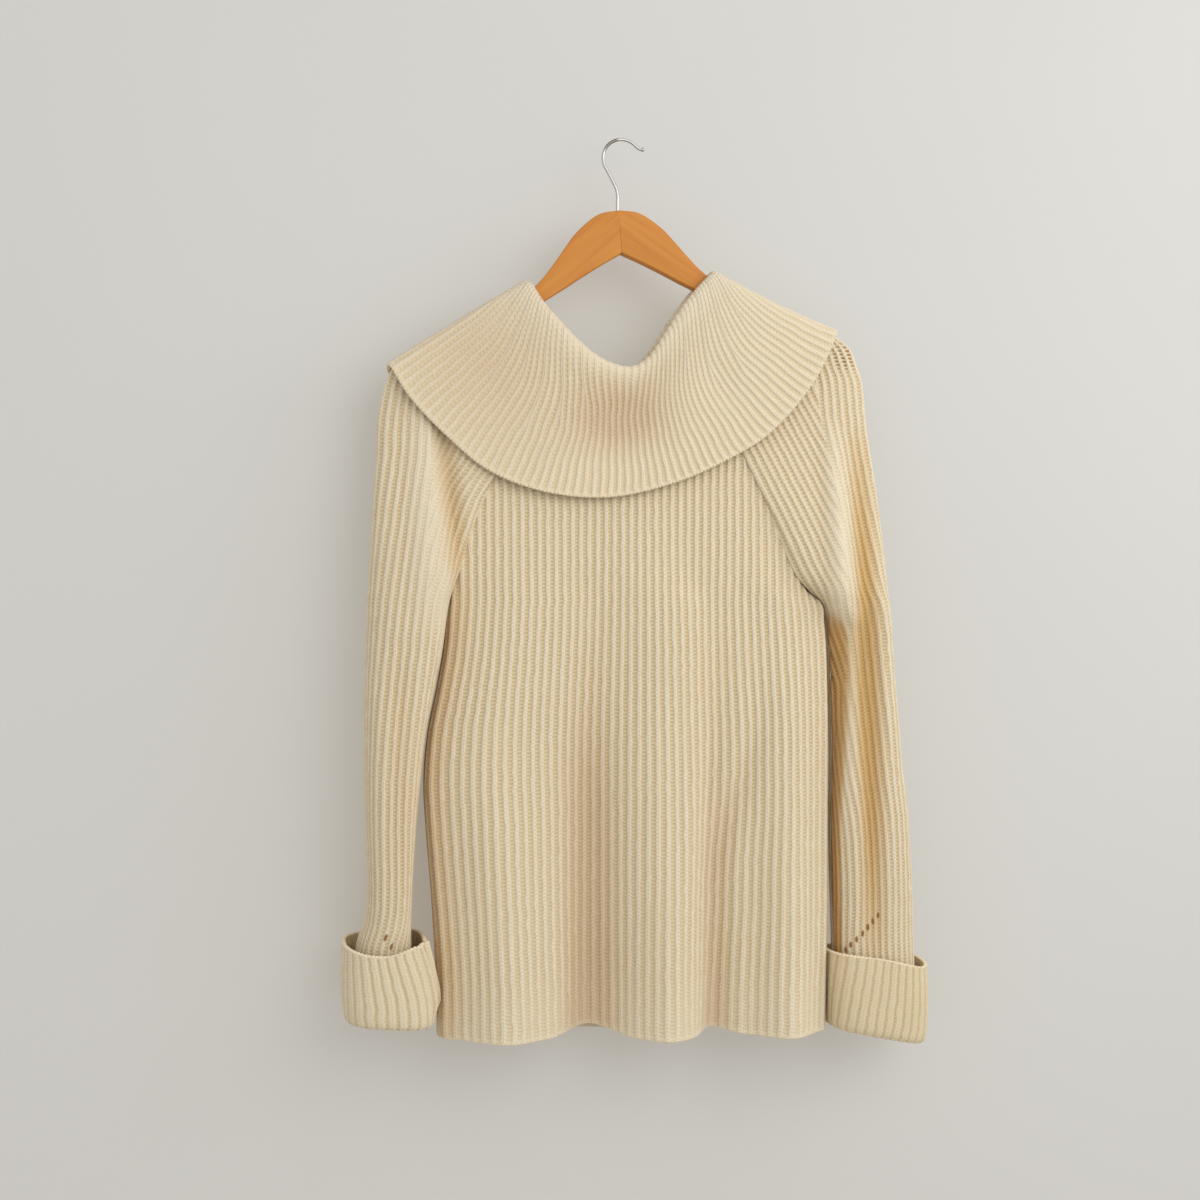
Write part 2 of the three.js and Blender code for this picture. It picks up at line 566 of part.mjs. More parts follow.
function hangerHook() {
  const wire = new THREE.Shape().absarc(0, 0, HOOK.wire, 0, 2 * Math.PI);
  const path = hookPath();
  const body = new THREE.ExtrudeGeometry(wire, { extrudePath: path, steps: 44, curveSegments: 5 });
  const end = path.getPoint(1);
  const ball = new THREE.SphereGeometry(HOOK.tipBall, 12, 8).translate(end.x, end.y, end.z);
  return toGeometry(toSolid(body).add(toSolid(ball)));
}

// ---- Assembly ----
const sweater = new THREE.Group();

function addPiece(name, geometry, finish) {
  const mesh = new THREE.Mesh(geometry, new THREE.MeshStandardMaterial(finish));
  mesh.name = name;
  sweater.add(mesh);
}

const COLUMNS = { front: 24, back: 20, sleeve: 18, cuff: 20, collar: 44 };
const leftSleeve = sleeveGrid(SLEEVE_LEFT, CREASES_LEFT, COLUMNS.sleeve);
const rightSleeve = sleeveGrid(SLEEVE_RIGHT, CREASES_RIGHT, COLUMNS.sleeve);

const knitted = [
  { name: "front_panel", grid: bodyPanel("front", COLUMNS.front), isRing: false },
  { name: "back_panel", grid: bodyPanel("back", COLUMNS.back), isRing: false, isTurned: true },
  { name: "sleeve_left", grid: leftSleeve, isRing: false, isTurned: true },
  { name: "sleeve_right", grid: rightSleeve, isRing: false },
  { name: "cuff_left", grid: cuffGrid(CUFF_LEFT, COLUMNS.cuff), isRing: true, isTurned: true },
  { name: "cuff_right", grid: cuffGrid(CUFF_RIGHT, COLUMNS.cuff), isRing: true, isTurned: true },
  { name: "cowl_collar", grid: collarGrid(COLUMNS.collar), isRing: true },
];
const SEWN_TOGETHER = 4; // the first pieces, which meet at the raglan and side seams
for (const piece of knitted) {
  if (piece.isTurned) piece.grid.forEach((row) => row.reverse());
  piece.normals = gridNormals(piece.grid, piece.isRing);
}
shareSeamNormals(knitted.slice(0, SEWN_TOGETHER));
for (const { name, grid, normals, isRing } of knitted) {
  addPiece(name, wallGeometry(drawBack(grid, isRing), normals, isRing), CREAM_WOOL);
}
addPiece("hanger_arm_left", hangerArm(-1), VARNISHED_WOOD);
addPiece("hanger_arm_right", hangerArm(1), VARNISHED_WOOD);
addPiece("hanger_hook", hangerHook(), CHROME);

export default sweater;
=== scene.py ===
import math

import bpy
import numpy as np
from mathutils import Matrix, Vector


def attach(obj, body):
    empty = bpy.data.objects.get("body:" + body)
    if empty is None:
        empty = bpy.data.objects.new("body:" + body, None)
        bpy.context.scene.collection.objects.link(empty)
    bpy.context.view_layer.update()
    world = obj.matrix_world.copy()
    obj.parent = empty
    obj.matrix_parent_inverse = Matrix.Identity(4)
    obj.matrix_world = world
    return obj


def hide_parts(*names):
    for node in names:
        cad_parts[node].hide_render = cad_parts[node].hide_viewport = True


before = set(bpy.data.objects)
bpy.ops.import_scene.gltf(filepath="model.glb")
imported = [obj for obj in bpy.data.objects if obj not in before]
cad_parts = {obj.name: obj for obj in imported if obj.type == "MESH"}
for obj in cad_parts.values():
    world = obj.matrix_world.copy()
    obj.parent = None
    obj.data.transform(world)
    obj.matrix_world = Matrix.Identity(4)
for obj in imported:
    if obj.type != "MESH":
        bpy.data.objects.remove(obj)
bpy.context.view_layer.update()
mm = 0.001
scene = bpy.context.scene


def putInScene(name, data):
    made = bpy.data.objects.new(name, data)
    scene.collection.objects.link(made)
    return made


def aim(thing, place, direction):
    thing.location = Vector(place) * mm
    thing.rotation_mode = "QUATERNION"
    thing.rotation_quaternion = direction.to_track_quat("-Z", "Y")


# Camera, as the first thing made
camera = {
    "place": (-354.1, -1565.0, -437.3),
    "turn": 12.0,  # degrees, looking to the right of straight on
    "lens": 50.5,
}


def makeCamera(use):
    data = bpy.data.cameras.new("camera")
    data.lens = use["lens"]
    data.sensor_width = 36
    data.clip_end = 20
    turn = math.radians(use["turn"])
    scene.camera = putInScene("camera", data)
    aim(scene.camera, use["place"], Vector((math.sin(turn), math.cos(turn), 0)))


makeCamera(camera)
print("camera ready")


# Node trees: a wired value takes part in sums as Python expressions do
class Wired:
    def __init__(self, bench, socket):
        self.bench = bench
        self.socket = socket

    def math(self, operation, *others, clamp=False):
        settings = {"operation": operation, "use_clamp": clamp}
        return self.bench.add("ShaderNodeMath", settings, dict(enumerate(others)))

    def __add__(self, other):
        return self.math("ADD", self, other)

    def __radd__(self, other):
        return self.math("ADD", other, self)

    def __sub__(self, other):
        return self.math("SUBTRACT", self, other)

    def __rsub__(self, other):
        return self.math("SUBTRACT", other, self)

    def __mul__(self, other):
        return self.math("MULTIPLY", self, other)

    def __rmul__(self, other):
        return self.math("MULTIPLY", other, self)

    def __truediv__(self, other):
        return self.math("DIVIDE", self, other)

    def __pow__(self, other):
        return self.math("POWER", self, other)

    def fraction(self):
        return self.math("FRACT", self)

    def size(self):
        return self.math("ABSOLUTE", self)

    def rounded(self):
        return self.math("ROUND", self)

    def kept(self, low, high):
        return self.math("MINIMUM", self.math("MAXIMUM", self, low), high)

    def held(self):  # kept from 0 to 1
        return self.math("ADD", self, 0.0, clamp=True)

    def between(self, low, high):  # 0 below low, 1 above high, smooth on the way
        settings = {"interpolation_type": "SMOOTHSTEP"}
        span = {"Value": self, 1: low, 2: high, 3: 0.0, 4: 1.0}
        return self.bench.add("ShaderNodeMapRange", settings, span)


class Bench:
    def __init__(self, tree):
        self.tree = tree

    def feed(self, socket, value):
        if isinstance(value, Wired):
            self.tree.links.new(value.socket, socket)
        elif hasattr(socket, "default_value"):
            socket.default_value = value

    def add(self, kind, settings=None, inputs=None, out=0):
        node = self.tree.nodes.new(kind)
        for name, value in (settings or {}).items():
            if name == "stops":
                self.setStops(node.color_ramp, value)
            else:
                setattr(node, name, value)
        for name, value in (inputs or {}).items():
            self.feed(node.inputs[name], value)
        return Wired(self, node.outputs[out]) if node.outputs else None

    def setStops(self, ramp, stops):
        while len(ramp.elements) < len(stops):
            ramp.elements.new(0.5)
        for element, (place, colour) in zip(ramp.elements, stops):
            element.position = place
            element.color = (*colour, 1)

    def mix(self, share, first, second):
        settings = {"data_type": "RGBA"}
        colours = {0: share, 6: self.opaque(first), 7: self.opaque(second)}
        return self.add("ShaderNodeMix", settings, colours, out=2)

    def tint(self, share, colour, by):
        settings = {"data_type": "RGBA", "blend_type": "MULTIPLY"}
        return self.add("ShaderNodeMix", settings, {0: share, 6: colour, 7: self.opaque(by)}, out=2)

    def opaque(self, colour):
        return (*colour, 1) if isinstance(colour, tuple) else colour

    def field(self, name):
        return self.add("ShaderNodeAttribute", {"attribute_name": name}, None, out=2)

    def pick(self, source, names):  # several outputs of one node
        return [Wired(self, source.socket.node.outputs[name]) for name in names]

    def noise(self, place, scale, detail=2.0, roughness=0.5):
        numbers = {"Scale": scale, "Detail": detail, "Roughness": roughness, "Vector": place}
        return self.add("ShaderNodeTexNoise", None, numbers)


def sRGB(red, green, blue):  # from 0 to 255, to the linear values that shaders take
    def linear(value):
        value /= 255
        return value / 12.92 if value <= 0.04045 else ((value + 0.055) / 1.055) ** 2.4

    return tuple(linear(value) for value in (red, green, blue))


def newMaterial(name):
    material = bpy.data.materials.new(name)
    material.use_nodes = True
    material.node_tree.nodes.clear()
    return material, Bench(material.node_tree)


def finishMaterial(bench, surface):
    bench.add("ShaderNodeOutputMaterial", None, {"Surface": surface})


# Knitted finish, drawn in stitches: u counts the ribs and v the rows; its colours paint highlights
# on the ridges and shade in gaps, holes and folds
knitFinish = {
    "ridge": sRGB(236, 223, 195),  # yarn that catches the light
    "between": sRGB(209, 188, 150),  # painted shade between two stitches of a rib, and how clearly it shows
    "stitchShade": 0.6,
    "yarn": sRGB(230, 214, 184),
    "valley": sRGB(223, 205, 170),  # between the ribs: painted shade, and also the tone of random unevenness
    # painted shade in the ladder's holes between the ribs
    "hole": sRGB(203, 179, 137),
    "open": sRGB(146, 108, 62),  # painted shade seen through eyelets and open stitches
    "warm": (0.84, 0.65, 0.38),  # painted shade of a warmer tint, in deep folds where wool lights wool
    "dim": (0.86, 0.78, 0.72),  # painted shade of shallow folds
    "ridgeFrom": 0.30,  # from a rib's middle to the gap
    "ridgeTo": 0.66,
    "fuzz": 900.0,  # noise cells per metre
    "grain": 2.2,  # how strongly the fuzz darkens the yarn, and its tint
    "speck": (0.88, 0.84, 0.79),
    "waver": 0.4,  # of the ribs, in ribs, and its noise cells per rib and row
    "waverCells": (0.5, 0.3, 1),
    "strandCells": (0.9, 0.06, 1),  # of the uneven colour along each strand
    "cloudCells": 9.0,  # of the uneven colour of the whole cloth, per metre
    "legSlant": 0.9,  # rows that a stitch's legs rise from a rib's middle to its side
    "groove": 0.16,
    "rung": (0.12, 0.34),  # of the ladder between the ribs, from its middle, in rows
    "relief": 0.0007,
    "roughness": 0.92,
    "sheen": 0.2,
    "eyelets": None,  # first stitch, last stitch, count
    "eyeletSize": (0.25, 1.0),  # in ribs and rows
}


def eyeletMask(bench, across, along, use):
    (firstRib, firstRow), (lastRib, lastRow), count = use["eyelets"]
    ribStep, rowStep = (lastRib - firstRib) / (count - 1), (lastRow - firstRow) / (count - 1)
    nearest = ((across - firstRib) / ribStep).rounded().kept(0, count - 1)
    aside = (across - firstRib - nearest * ribStep) / use["eyeletSize"][0]
    above = (along - firstRow - nearest * rowStep) / use["eyeletSize"][1]
    return 1 - ((aside * aside + above * above) ** 0.5).between(0.6, 1.15)


def knitMaterial(name, use):
    material, bench = newMaterial(name)
    uv = bench.add("ShaderNodeUVMap", {"uv_map": "knit"})
    parts = bench.add("ShaderNodeSeparateXYZ", None, {0: uv})
    across, along = bench.pick(parts, (0, 1))
    place = bench.add("ShaderNodeTexCoord", None, None, out=3)
    fuzz = bench.noise(place, use["fuzz"], 3.0, 0.6)
    cloud = bench.noise(place, use["cloudCells"])
    strand = bench.add("ShaderNodeMapping", None, {"Vector": uv, "Scale": use["strandCells"]})
    unevenness = bench.noise(strand, 1.0, 2.0, 0.6)
    loose = bench.add("ShaderNodeMapping", None, {"Vector": uv, "Scale": use["waverCells"]})
    across = across + (bench.noise(loose, 1.0) - 0.5) * use["waver"]
    depth, tight = bench.field("ribDepth"), bench.field("tight")
    warm, dim, lace = bench.field("warm"), bench.field("dim"), bench.field("lace")

    side = (across.fraction() - 0.5).size() * 2  # 0 on a rib's middle, 1 between two ribs
    ridge = 1 - side.between(use["ridgeFrom"], use["ridgeTo"])
    slanted = along - side * use["legSlant"]
    leg = (slanted.fraction() - 0.5).size() * 2  # 0 in the middle of a leg of a stitch
    legTop = 1 - leg.between(0.5, 1.0)
    middle = side.between(0.0, use["groove"])  # groove between the two legs
    rung = 1 - ((along + 0.25).fraction() - 0.5).size().between(*use["rung"])
    wobble = (fuzz - 0.5) * 0.5

    ridgeHeight = 0.55 + legTop * 0.3 * middle + middle * 0.15
    valleyHeight = rung * 0.42
    height = valleyHeight + (ridgeHeight - valleyHeight) * ridge + wobble * 0.35
    # painted highlight on the tops of the stitch legs
    light = (legTop * 0.6 + middle * 0.4 + wobble).held()
    ridgeColour = bench.mix(light, use["yarn"], use["ridge"])
    # painted shade between the stitches of a rib, fading where the ribs are flattened
    stitchEdge = leg.between(0.55, 0.95) * use["stitchShade"] * depth.held()
    ridgeColour = bench.mix(stitchEdge, ridgeColour, use["between"])
    # painted shade in the ladder's holes between the ribs, lighter where the knitting is tight
    shade = (rung + (0.8 - rung) * tight + wobble * 0.6).held()
    valleyColour = bench.mix(shade, use["hole"], use["valley"])
    # open stitches show painted shade through them
    valleyColour = bench.mix((lace * (1 - rung)).held(), valleyColour, use["open"])
    mask = (1 - (1 - ridge) * depth).held()
    colour = bench.mix(mask, valleyColour, ridgeColour)
    patchy = ((cloud - 0.4) * 0.5 + (unevenness - 0.5) * 0.9).held()
    colour = bench.mix(patchy, colour, use["valley"])
    colour = bench.tint(((0.52 - fuzz) * use["grain"]).held(), colour, use["speck"])
    # painted shade: flute recesses, beside the left sleeve, the wall under the arm, the cuffs and
    # the cape
    colour = bench.tint(dim.held(), colour, use["dim"])
    # painted shade of a warmer tint: deep folds, beside the left sleeve, under the arm, inside the
    # cuffs
    colour = bench.tint(warm.held(), colour, use["warm"])
    # eyelets are real holes, drawn as painted shade seen through them
    if use["eyelets"]:
        hole = eyeletMask(bench, across, along, use)
        colour = bench.mix(hole, colour, use["open"])
        height = height * (1 - hole)

    relief = {"Strength": 1.0, "Distance": use["relief"], "Height": height}
    bump = bench.add("ShaderNodeBump", None, relief)
    cloth = bench.add(
        "ShaderNodeBsdfPrincipled",
        None,
        {
            "Base Color": colour,
            "Roughness": use["roughness"],
            "Specular IOR Level": 0.2,
            "Sheen Weight": use["sheen"],
            "Sheen Roughness": 0.5,
            "Normal": bump,
        },
    )
    finishMaterial(bench, cloth)
    return material


# Cast-off edge: a chain of plain yarn
chainFinish = {"light": sRGB(240, 225, 194), "shade": sRGB(222, 203, 166), "fuzz": 1100.0}


def chainMaterial(name, use):
    material, bench = newMaterial(name)
    place = bench.add("ShaderNodeTexCoord", None, None, out=3)
    fuzz = bench.noise(place, use["fuzz"], 3.0, 0.6)
    bump = bench.add("ShaderNodeBump", None, {"Strength": 0.6, "Distance": 0.0004, "Height": fuzz})
    colour = bench.mix(fuzz, use["shade"], use["light"])
    yarn = {"Base Color": colour, "Roughness": 0.92, "Sheen Weight": 0.2, "Normal": bump}
    finishMaterial(bench, bench.add("ShaderNodeBsdfPrincipled", None, yarn))
    return material


woodFinish = {
    "light": sRGB(208, 138, 54),
    "middle": sRGB(200, 128, 46),
    "dark": sRGB(184, 110, 36),
    "gloss": 0.5,
    "coat": 0.1,
    "grain": (0.16, 0.033, 0.015),  # metres per cell along, through and across the grain
}


def woodMaterial(name, use, slope):
    material, bench = newMaterial(name)
    place = bench.add("ShaderNodeTexCoord", None, None, out=3)
    turned = {"Vector": place, "Rotation": (0, math.radians(slope), 0), "Scale": use["grain"]}
    grain = bench.add("ShaderNodeMapping", {"vector_type": "TEXTURE"}, turned)
    flow = bench.noise(grain, 1.6, 4.0, 0.55)
    fine = bench.noise(grain, 9.0, 3.0, 0.7)
    settings = {"wave_type": "BANDS", "bands_direction": "Z", "wave_profile": "SAW"}
    numbers = {"Vector": grain, "Scale": 0.55, "Distortion": 5.0, "Detail": 2.0}
    rings = bench.add("ShaderNodeTexWave", settings, numbers, out=1)
    tone = (flow * 0.75 + rings * 0.12 + fine * 0.15).held()
    stops = [(0.2, use["dark"]), (0.5, use["middle"]), (0.75, use["light"])]
    colour = bench.add("ShaderNodeValToRGB", {"stops": stops}, {0: tone})
    rough = use["gloss"] + fine * 0.12
    bump = bench.add("ShaderNodeBump", None, {"Strength": 0.25, "Distance": 0.0004, "Height": fine})
    wood = bench.add(
        "ShaderNodeBsdfPrincipled",
        None,
        {
            "Base Color": colour,
            "Roughness": rough,
            "Specular IOR Level": 0.3,
            "Coat Weight": use["coat"],
            "Coat Roughness": 0.2,
            "Normal": bump,
        },
    )
    finishMaterial(bench, wood)
    return material


wireFinish = {
    "steel": sRGB(200, 199, 194),
    # dark of random wear and of a painted dark reflection
    "darkWearAndReflection": sRGB(118, 112, 100),
    "roughness": 0.2,
    # painted dark reflection on the upper left of the hook's bend
    "darkReflection": ((-0.019, -0.015), (-0.007, -0.002), (-0.016, -0.011)),  # begins, ends, rises; metres
}


def wireMaterial(name, use):
    material, bench = newMaterial(name)
    place = bench.add("ShaderNodeTexCoord", None, None, out=3)
    streak = bench.add("ShaderNodeMapping", None, {"Vector": place, "Scale": (1, 1, 0.2)})
    wear = bench.noise(streak, 700.0, 3.0, 0.6)
    spread = bench.add("ShaderNodeSeparateXYZ", None, {0: place})
    x, z = bench.pick(spread, ("X", "Z"))
    begins, ends, rises = use["darkReflection"]
    darkReflection = x.between(*begins) * (1 - x.between(*ends)) * z.between(*rises)
    # random wear and the painted dark reflection darken the steel
    colour = bench.mix((wear * 0.3 + darkReflection * 0.8).held(), use["steel"], use["darkWearAndReflection"])
    bump = bench.add("ShaderNodeBump", None, {"Strength": 0.1, "Distance": 0.0001, "Height": wear})
    steel = bench.add(
        "ShaderNodeBsdfPrincipled",
        None,
        {
            "Base Color": colour,
            "Metallic": 1.0,
            "Roughness": use["roughness"] + wear * 0.12,
            "Normal": bump,
        },
    )
    finishMaterial(bench, steel)
    return material


# Reading the tables of form
def asTable(names, rows):
    return dict(zip(names.split(), np.array(rows, dtype=float).T))


def smooth(t):
    t = np.clip(t, 0.0, 1.0)
    return t * t * (3 - 2 * t)


def swell(distance, reach):  # a soft ridge, 1 at its middle and 0 from reach outwards
    return smooth(1 - np.abs(distance) / reach)


def readColumn(table, key, column, value):  # a smooth curve through a column's rows
    keys, values = table[key], table[column]
    sign = 1.0 if keys[-1] > keys[0] else -1.0
    value = np.asarray(value, dtype=float)
    last = len(keys) - 1
    i = np.clip(np.searchsorted(sign * keys, sign * value, side="right") - 1, 0, last - 1)
    before, after = np.maximum(i - 1, 0), np.minimum(i + 2, last)
    span = keys[i + 1] - keys[i]
    t = np.clip((value - keys[i]) / span, 0, 1)
    slopeIn = (values[i + 1] - values[before]) / (keys[i + 1] - keys[before]) * span
    slopeOut = (values[after] - values[i]) / (keys[after] - keys[i]) * span
    t2, t3 = t * t, t * t * t
    start, end = 2 * t3 - 3 * t2 + 1, 3 * t2 - 2 * t3
    return (
        start * values[i] + (t3 - 2 * t2 + t) * slopeIn + end * values[i + 1] + (t3 - t2) * slopeOut
    )


def sideRise(u, square):  # how far a flattened tube's side has risen at place u across it
    return np.maximum(1 - np.abs(1 - 2 * u) ** square, 0) ** (1 / square)


def places(count):  # from 0 to 1, closer together towards both ends
    return (1 - np.cos(np.linspace(0, math.pi, count))) / 2


# Fine places at which a form's lengths are measured, before its grid of stitches is laid out
fineSteps = {"across": 400, "down": 320, "round": 1200, "cuff": 720, "collar": 1500}


# Body panels
body = {
    "underarm": -441.0,
    "neckSide": -226.0,
    "hem": -846.0,
    "neckDrop": 24.0,
    "neckDropFrom": -265.0,
    "fluteTop": -330.0,
    "flutePower": 1.3,
    "hemFall": 12.0,
    "hemFallFrom": 0.35,
    "hemLift": 0.3,
    "square": 5.0,
    "ribPitch": 8.0,
    "rowPitch": 3.5,
    "lean": 0.008,  # of the ribs, to the right going up
    "givingRibs": 12.0,
    "hemBand": -775.0,  # knitted tighter below this
    "bandBlend": 60.0,
    "bandFlat": 0.2,  # how much lower the ribs are there, and at the cast-off edge
    "edgeFlat": 0.5,
    # Share of the ladder between the ribs that is closed: everywhere, below calmFrom, in the band
    "closed": (0.12, 0.38, 0.45),
    "calmFrom": -560.0,
    "calmBlend": 200.0,
    "deepFlute": 19.0,  # depth of a flute that is fully in shade
    "besideSleeve": 0.07,  # share of the width that lies in the left sleeve's shade
    "besideFrom": -405.0,
    "besideBlend": 60.0,
    "besideShade": 0.35,
    "besideWarmth": 0.3,
}
raglan = asTable(
    "z left right front back",
    [
        (-226, -74, 78, -12.8, 12.8),
        (-265, -93, 98, -12.9, 12.8),
        (-306, -115, 120, -13, 12.6),
        (-345, -137, 139, -13.4, 12),
        (-385, -152, 157, -12.5, 10),
        (-412, -158.5, 169, -9, 7.5),
        (-430, -162.5, 181, -4.5, 4.5),
        (-441, -165, 197, 0, 0),
    ],
)
sides = asTable(
    "z left right front back",
    [
        (-226, -74, 78, -12.8, 12.8),
        (-306, -115, 120, -13.6, 13),
        (-385, -152, 157, -16, 13.4),
        (-441, -165, 197, -18, 14),
        (-458, -166.5, 199, -18.5, 14.5),
        (-485, -169, 201, -19, 15),
        (-520, -175, 202, -19.5, 15.5),
        (-560, -183, 202.5, -20, 16),
        (-605, -187, 202.5, -20, 17),
        (-650, -185, 202.5, -20, 18),
        (-700, -181, 202.5, -20, 19),
        (-750, -177, 202, -20, 20),
        (-795, -174.5, 201, -20, 21),
        (-846, -174.5, 199.5, -20, 22),
    ],
)
# Flutes down to the hem: place across, half-width, how far forward
frontFlutes = [
    (0.155, 0.14, 24),
    (0.38, 0.12, -25),
    (0.566, 0.12, 25),
    (0.7, 0.08, -15),
    (0.885, 0.11, 25),
]
backFlutes = [(0.23, 0.13, -16), (0.5, 0.13, 8), (0.77, 0.14, -17)]
# Soft hollows of the chest and waist: place across and its lean per mm of height, level,
# half-width, half-height, depth
frontHollows = [
    (0.2, 0.0, -560, 0.13, 120, 2.5),
    (0.55, 0.0, -470, 0.2, 90, -2.0),
    (0.41, 0.0, -640, 0.09, 130, 4.0),
    (0.645, 0.0003, -640, 0.05, 150, -3.5),
    (0.765, 0.0008, -625, 0.055, 120, 6.0),
]
backHollows = [(0.3, 0.0003, -520, 0.16, 130, 4.5), (0.72, -0.0004, -590, 0.16, 140, 4.5)]


def bodyEdge(z, side, face):
    above = z > body["underarm"]
    x = np.where(above, readColumn(raglan, "z", side, z), readColumn(sides, "z", side, z))
    return x, np.where(above, readColumn(raglan, "z", face, z), 0.0)


def fluteDepth(flutes, u, z):
    below = np.clip((body["fluteTop"] - z) / (body["fluteTop"] - body["hem"]), 0, 1)
    forward = sum(depth * swell(u - at, reach) for at, reach, depth in flutes)
    return forward * below ** body["flutePower"]


def hollowDepth(hollows, u, z):
    return sum(
        depth * swell(u - at - lean * (z - level), reach) * swell(z - level, tall)
        for at, lean, level, reach, tall, depth in hollows
    )


def bodyPoint(face, u, level):
    isFront = face == "front"
    flutes = frontFlutes if isFront else backFlutes
    leftX, leftY = bodyEdge(level, "left", face)
    rightX, rightY = bodyEdge(level, "right", face)
    folds = fluteDepth(flutes, u, level)
    sunk = hollowDepth(frontHollows, u, level) if isFront else -hollowDepth(backHollows, u, level)
    flat = readColumn(sides, "z", face, level) - folds + sunk
    edge = leftY + (rightY - leftY) * smooth(u)
    x = leftX + (rightX - leftX) * u
    y = edge + (flat - edge) * sideRise(u, body["square"])
    lift = body["hemLift"] * np.maximum(0, -folds) if isFront else 0.0
    nearNeck = (level - body["neckDropFrom"]) / (body["neckSide"] - body["neckDropFrom"])
    neck = body["neckDrop"] * (1 - (2 * u - 1) ** 2) * np.clip(nearNeck, 0, 1)
    run = (body["underarm"] - level) / (body["underarm"] - body["hem"])
    fall = body["hemFall"] * (u - body["hemFallFrom"]) * smooth(run)
    return np.stack([x, y, level + lift - neck - fall], axis=-1)


def lengthAlong(points):  # distance along each row of points
    steps = np.linalg.norm(np.diff(points, axis=1), axis=2)
    return np.concatenate([np.zeros((len(points), 1)), np.cumsum(steps, axis=1)], axis=1)


def bodyGrid(face, perRib, rows):
    isFront = face == "front"
    fineU = places(fineSteps["across"])
    levels = np.linspace(body["neckSide"], body["hem"], fineSteps["down"])
    fine = bodyPoint(face, fineU[None, :], levels[:, None])
    length = lengthAlong(fine)
    total = length[:, -1]
    under = np.searchsorted(-levels, -body["underarm"])
    ribCount = round(total[under] / body["ribPitch"])
    pitch = np.where(levels < body["underarm"], total, total[under]) / ribCount
    # The middle rib hangs straight; the last ribs at the sides take up what the sides need
    x = fine[:, :, 0]
    middleX = np.interp(total[under] / 2, length[under], x[under])
    plumb = middleX + (levels - levels[under]) * body["lean"]
    middle = np.array([np.interp(plumb[k], x[k], length[k]) for k in range(len(levels))])
    count = ribCount / 2 + (length - middle[:, None]) / pitch[:, None]
    below = (levels < body["underarm"])[:, None]
    missLeft = np.where(below, count[:, :1], 0.0)
    missRight = np.where(below, count[:, -1:] - ribCount, 0.0)
    give = body["givingRibs"]
    leftShare = 1 - smooth((count - missLeft) / give)
    rightShare = 1 - smooth((ribCount + missRight - count) / give)
    count = count - missLeft * leftShare - missRight * rightShare
    columns = np.linspace(0, ribCount, ribCount * perRib + 1)
    acrossAt = np.array([np.interp(columns, count[k], fineU) for k in range(len(levels))])
    leftCount = np.minimum.accumulate(count[:, 0])
    rightCount = np.maximum.accumulate(count[:, -1])
    topLeft = np.interp(-columns, -leftCount, levels)
    topRight = np.interp(columns, rightCount, levels)
    top = np.minimum(topLeft, topRight)
    down = np.linspace(0, 1, rows)[:, None]
    level = top[None, :] + (body["hem"] - top[None, :]) * down
    step = (levels[0] - level) / (levels[0] - levels[1])
    low = np.clip(np.floor(step).astype(int), 0, len(levels) - 2)
    share = np.clip(step - low, 0, 1)
    index = np.arange(len(columns))[None, :].repeat(rows, axis=0)
    u = acrossAt[low, index] * (1 - share) + acrossAt[low + 1, index] * share
    points = bodyPoint(face, u, level)
    fold, beside = np.zeros_like(u), np.zeros_like(u)
    if isFront:
        fold = fluteDepth(frontFlutes, u, level) - hollowDepth(frontHollows, u, level)
        below = smooth((body["besideFrom"] - level) / body["besideBlend"])
        beside = swell(u, body["besideSleeve"]) * below
    band = smooth((body["hemBand"] - level) / body["bandBlend"])
    calm = smooth((body["calmFrom"] - level) / body["calmBlend"])
    everywhere, whereCalm, inBand = body["closed"]
    return {
        "points": points,
        "rib": np.broadcast_to(columns, u.shape),
        "row": -level / body["rowPitch"],
        # painted shade in the recesses of flutes and hollows and beside the left sleeve, where it
        # also takes a warmer tint
        "dim": smooth(-fold / body["deepFlute"]) + beside * body["besideShade"],
        "warm": beside * body["besideWarmth"],
        "tight": everywhere + whereCalm * calm + inBand * band,
        "ribDepth": 1 - body["bandFlat"] * band - body["edgeFlat"] * (down == 1),
    }


# Sleeves
sleeve = {
    "ribPitch": 8.0,
    "rowPitch": 3.5,
    "creaseFade": 0.7,
    "wedgeBlend": 14.0,
    "seamHold": 26.0,  # below the underarm, over which the front comes free of the seam
    "narrowing": 0.2,  # of the ribs towards the wrist
    "narrowOver": 300.0,
    "wallTurn": 0.085,  # share of the way round that is the wall under the arm
    "closed": 0.15,  # share of the ladder that is closed
    "flatMost": 0.85,
    "columns": 240,
}
sleeveNames = "z inner outer front back square skew"
sleeveLeft = asTable(
    sleeveNames,
    [
        (-165, -107, -119, -12.6, 12.6, 3, 0),
        (-179, -99.5, -145, -12.7, 12.7, 4, 0),
        (-196, -90, -176, -12.8, 12.8, 4.5, 0),
        (-212, -81.5, -202, -12.8, 12.8, 4.5, 0),
        (-226, -74, -218, -12.9, 12.9, 4.5, 0),
        (-265, -93, -229, -14, 13.2, 4, 0),
        (-306, -115, -231, -18, 15, 3.5, 0),
        (-345, -137, -234, -24, 18, 3, 0),
        (-385, -152, -236, -31, 22, 2.8, 2),
        (-412, -158.5, -238, -35, 25, 2.6, 3),
        (-430, -165.6, -239, -37, 27, 2.5, 4),
        (-441, -168.4, -239.5, -38, 28, 2.5, 4),
        (-458, -171.5, -240, -39, 30, 2.5, 3),
        (-485, -175, -241, -40, 32, 2.5, 2),
        (-520, -182, -242, -41, 34, 2.5, 1),
        (-560, -190, -242, -42, 36, 2.5, 0),
        (-605, -195, -242, -42, 36, 2.5, 0),
        (-650, -199, -241, -40, 35, 2.5, 0),
        (-700, -202, -239.5, -38, 33, 2.5, 0),
        (-730, -203, -241.5, -37, 32, 2.5, 0),
        (-755, -203, -249, -37, 32, 2.5, 0),
        (-784, -200, -252, -38, 32, 2.5, 0),
    ],
)
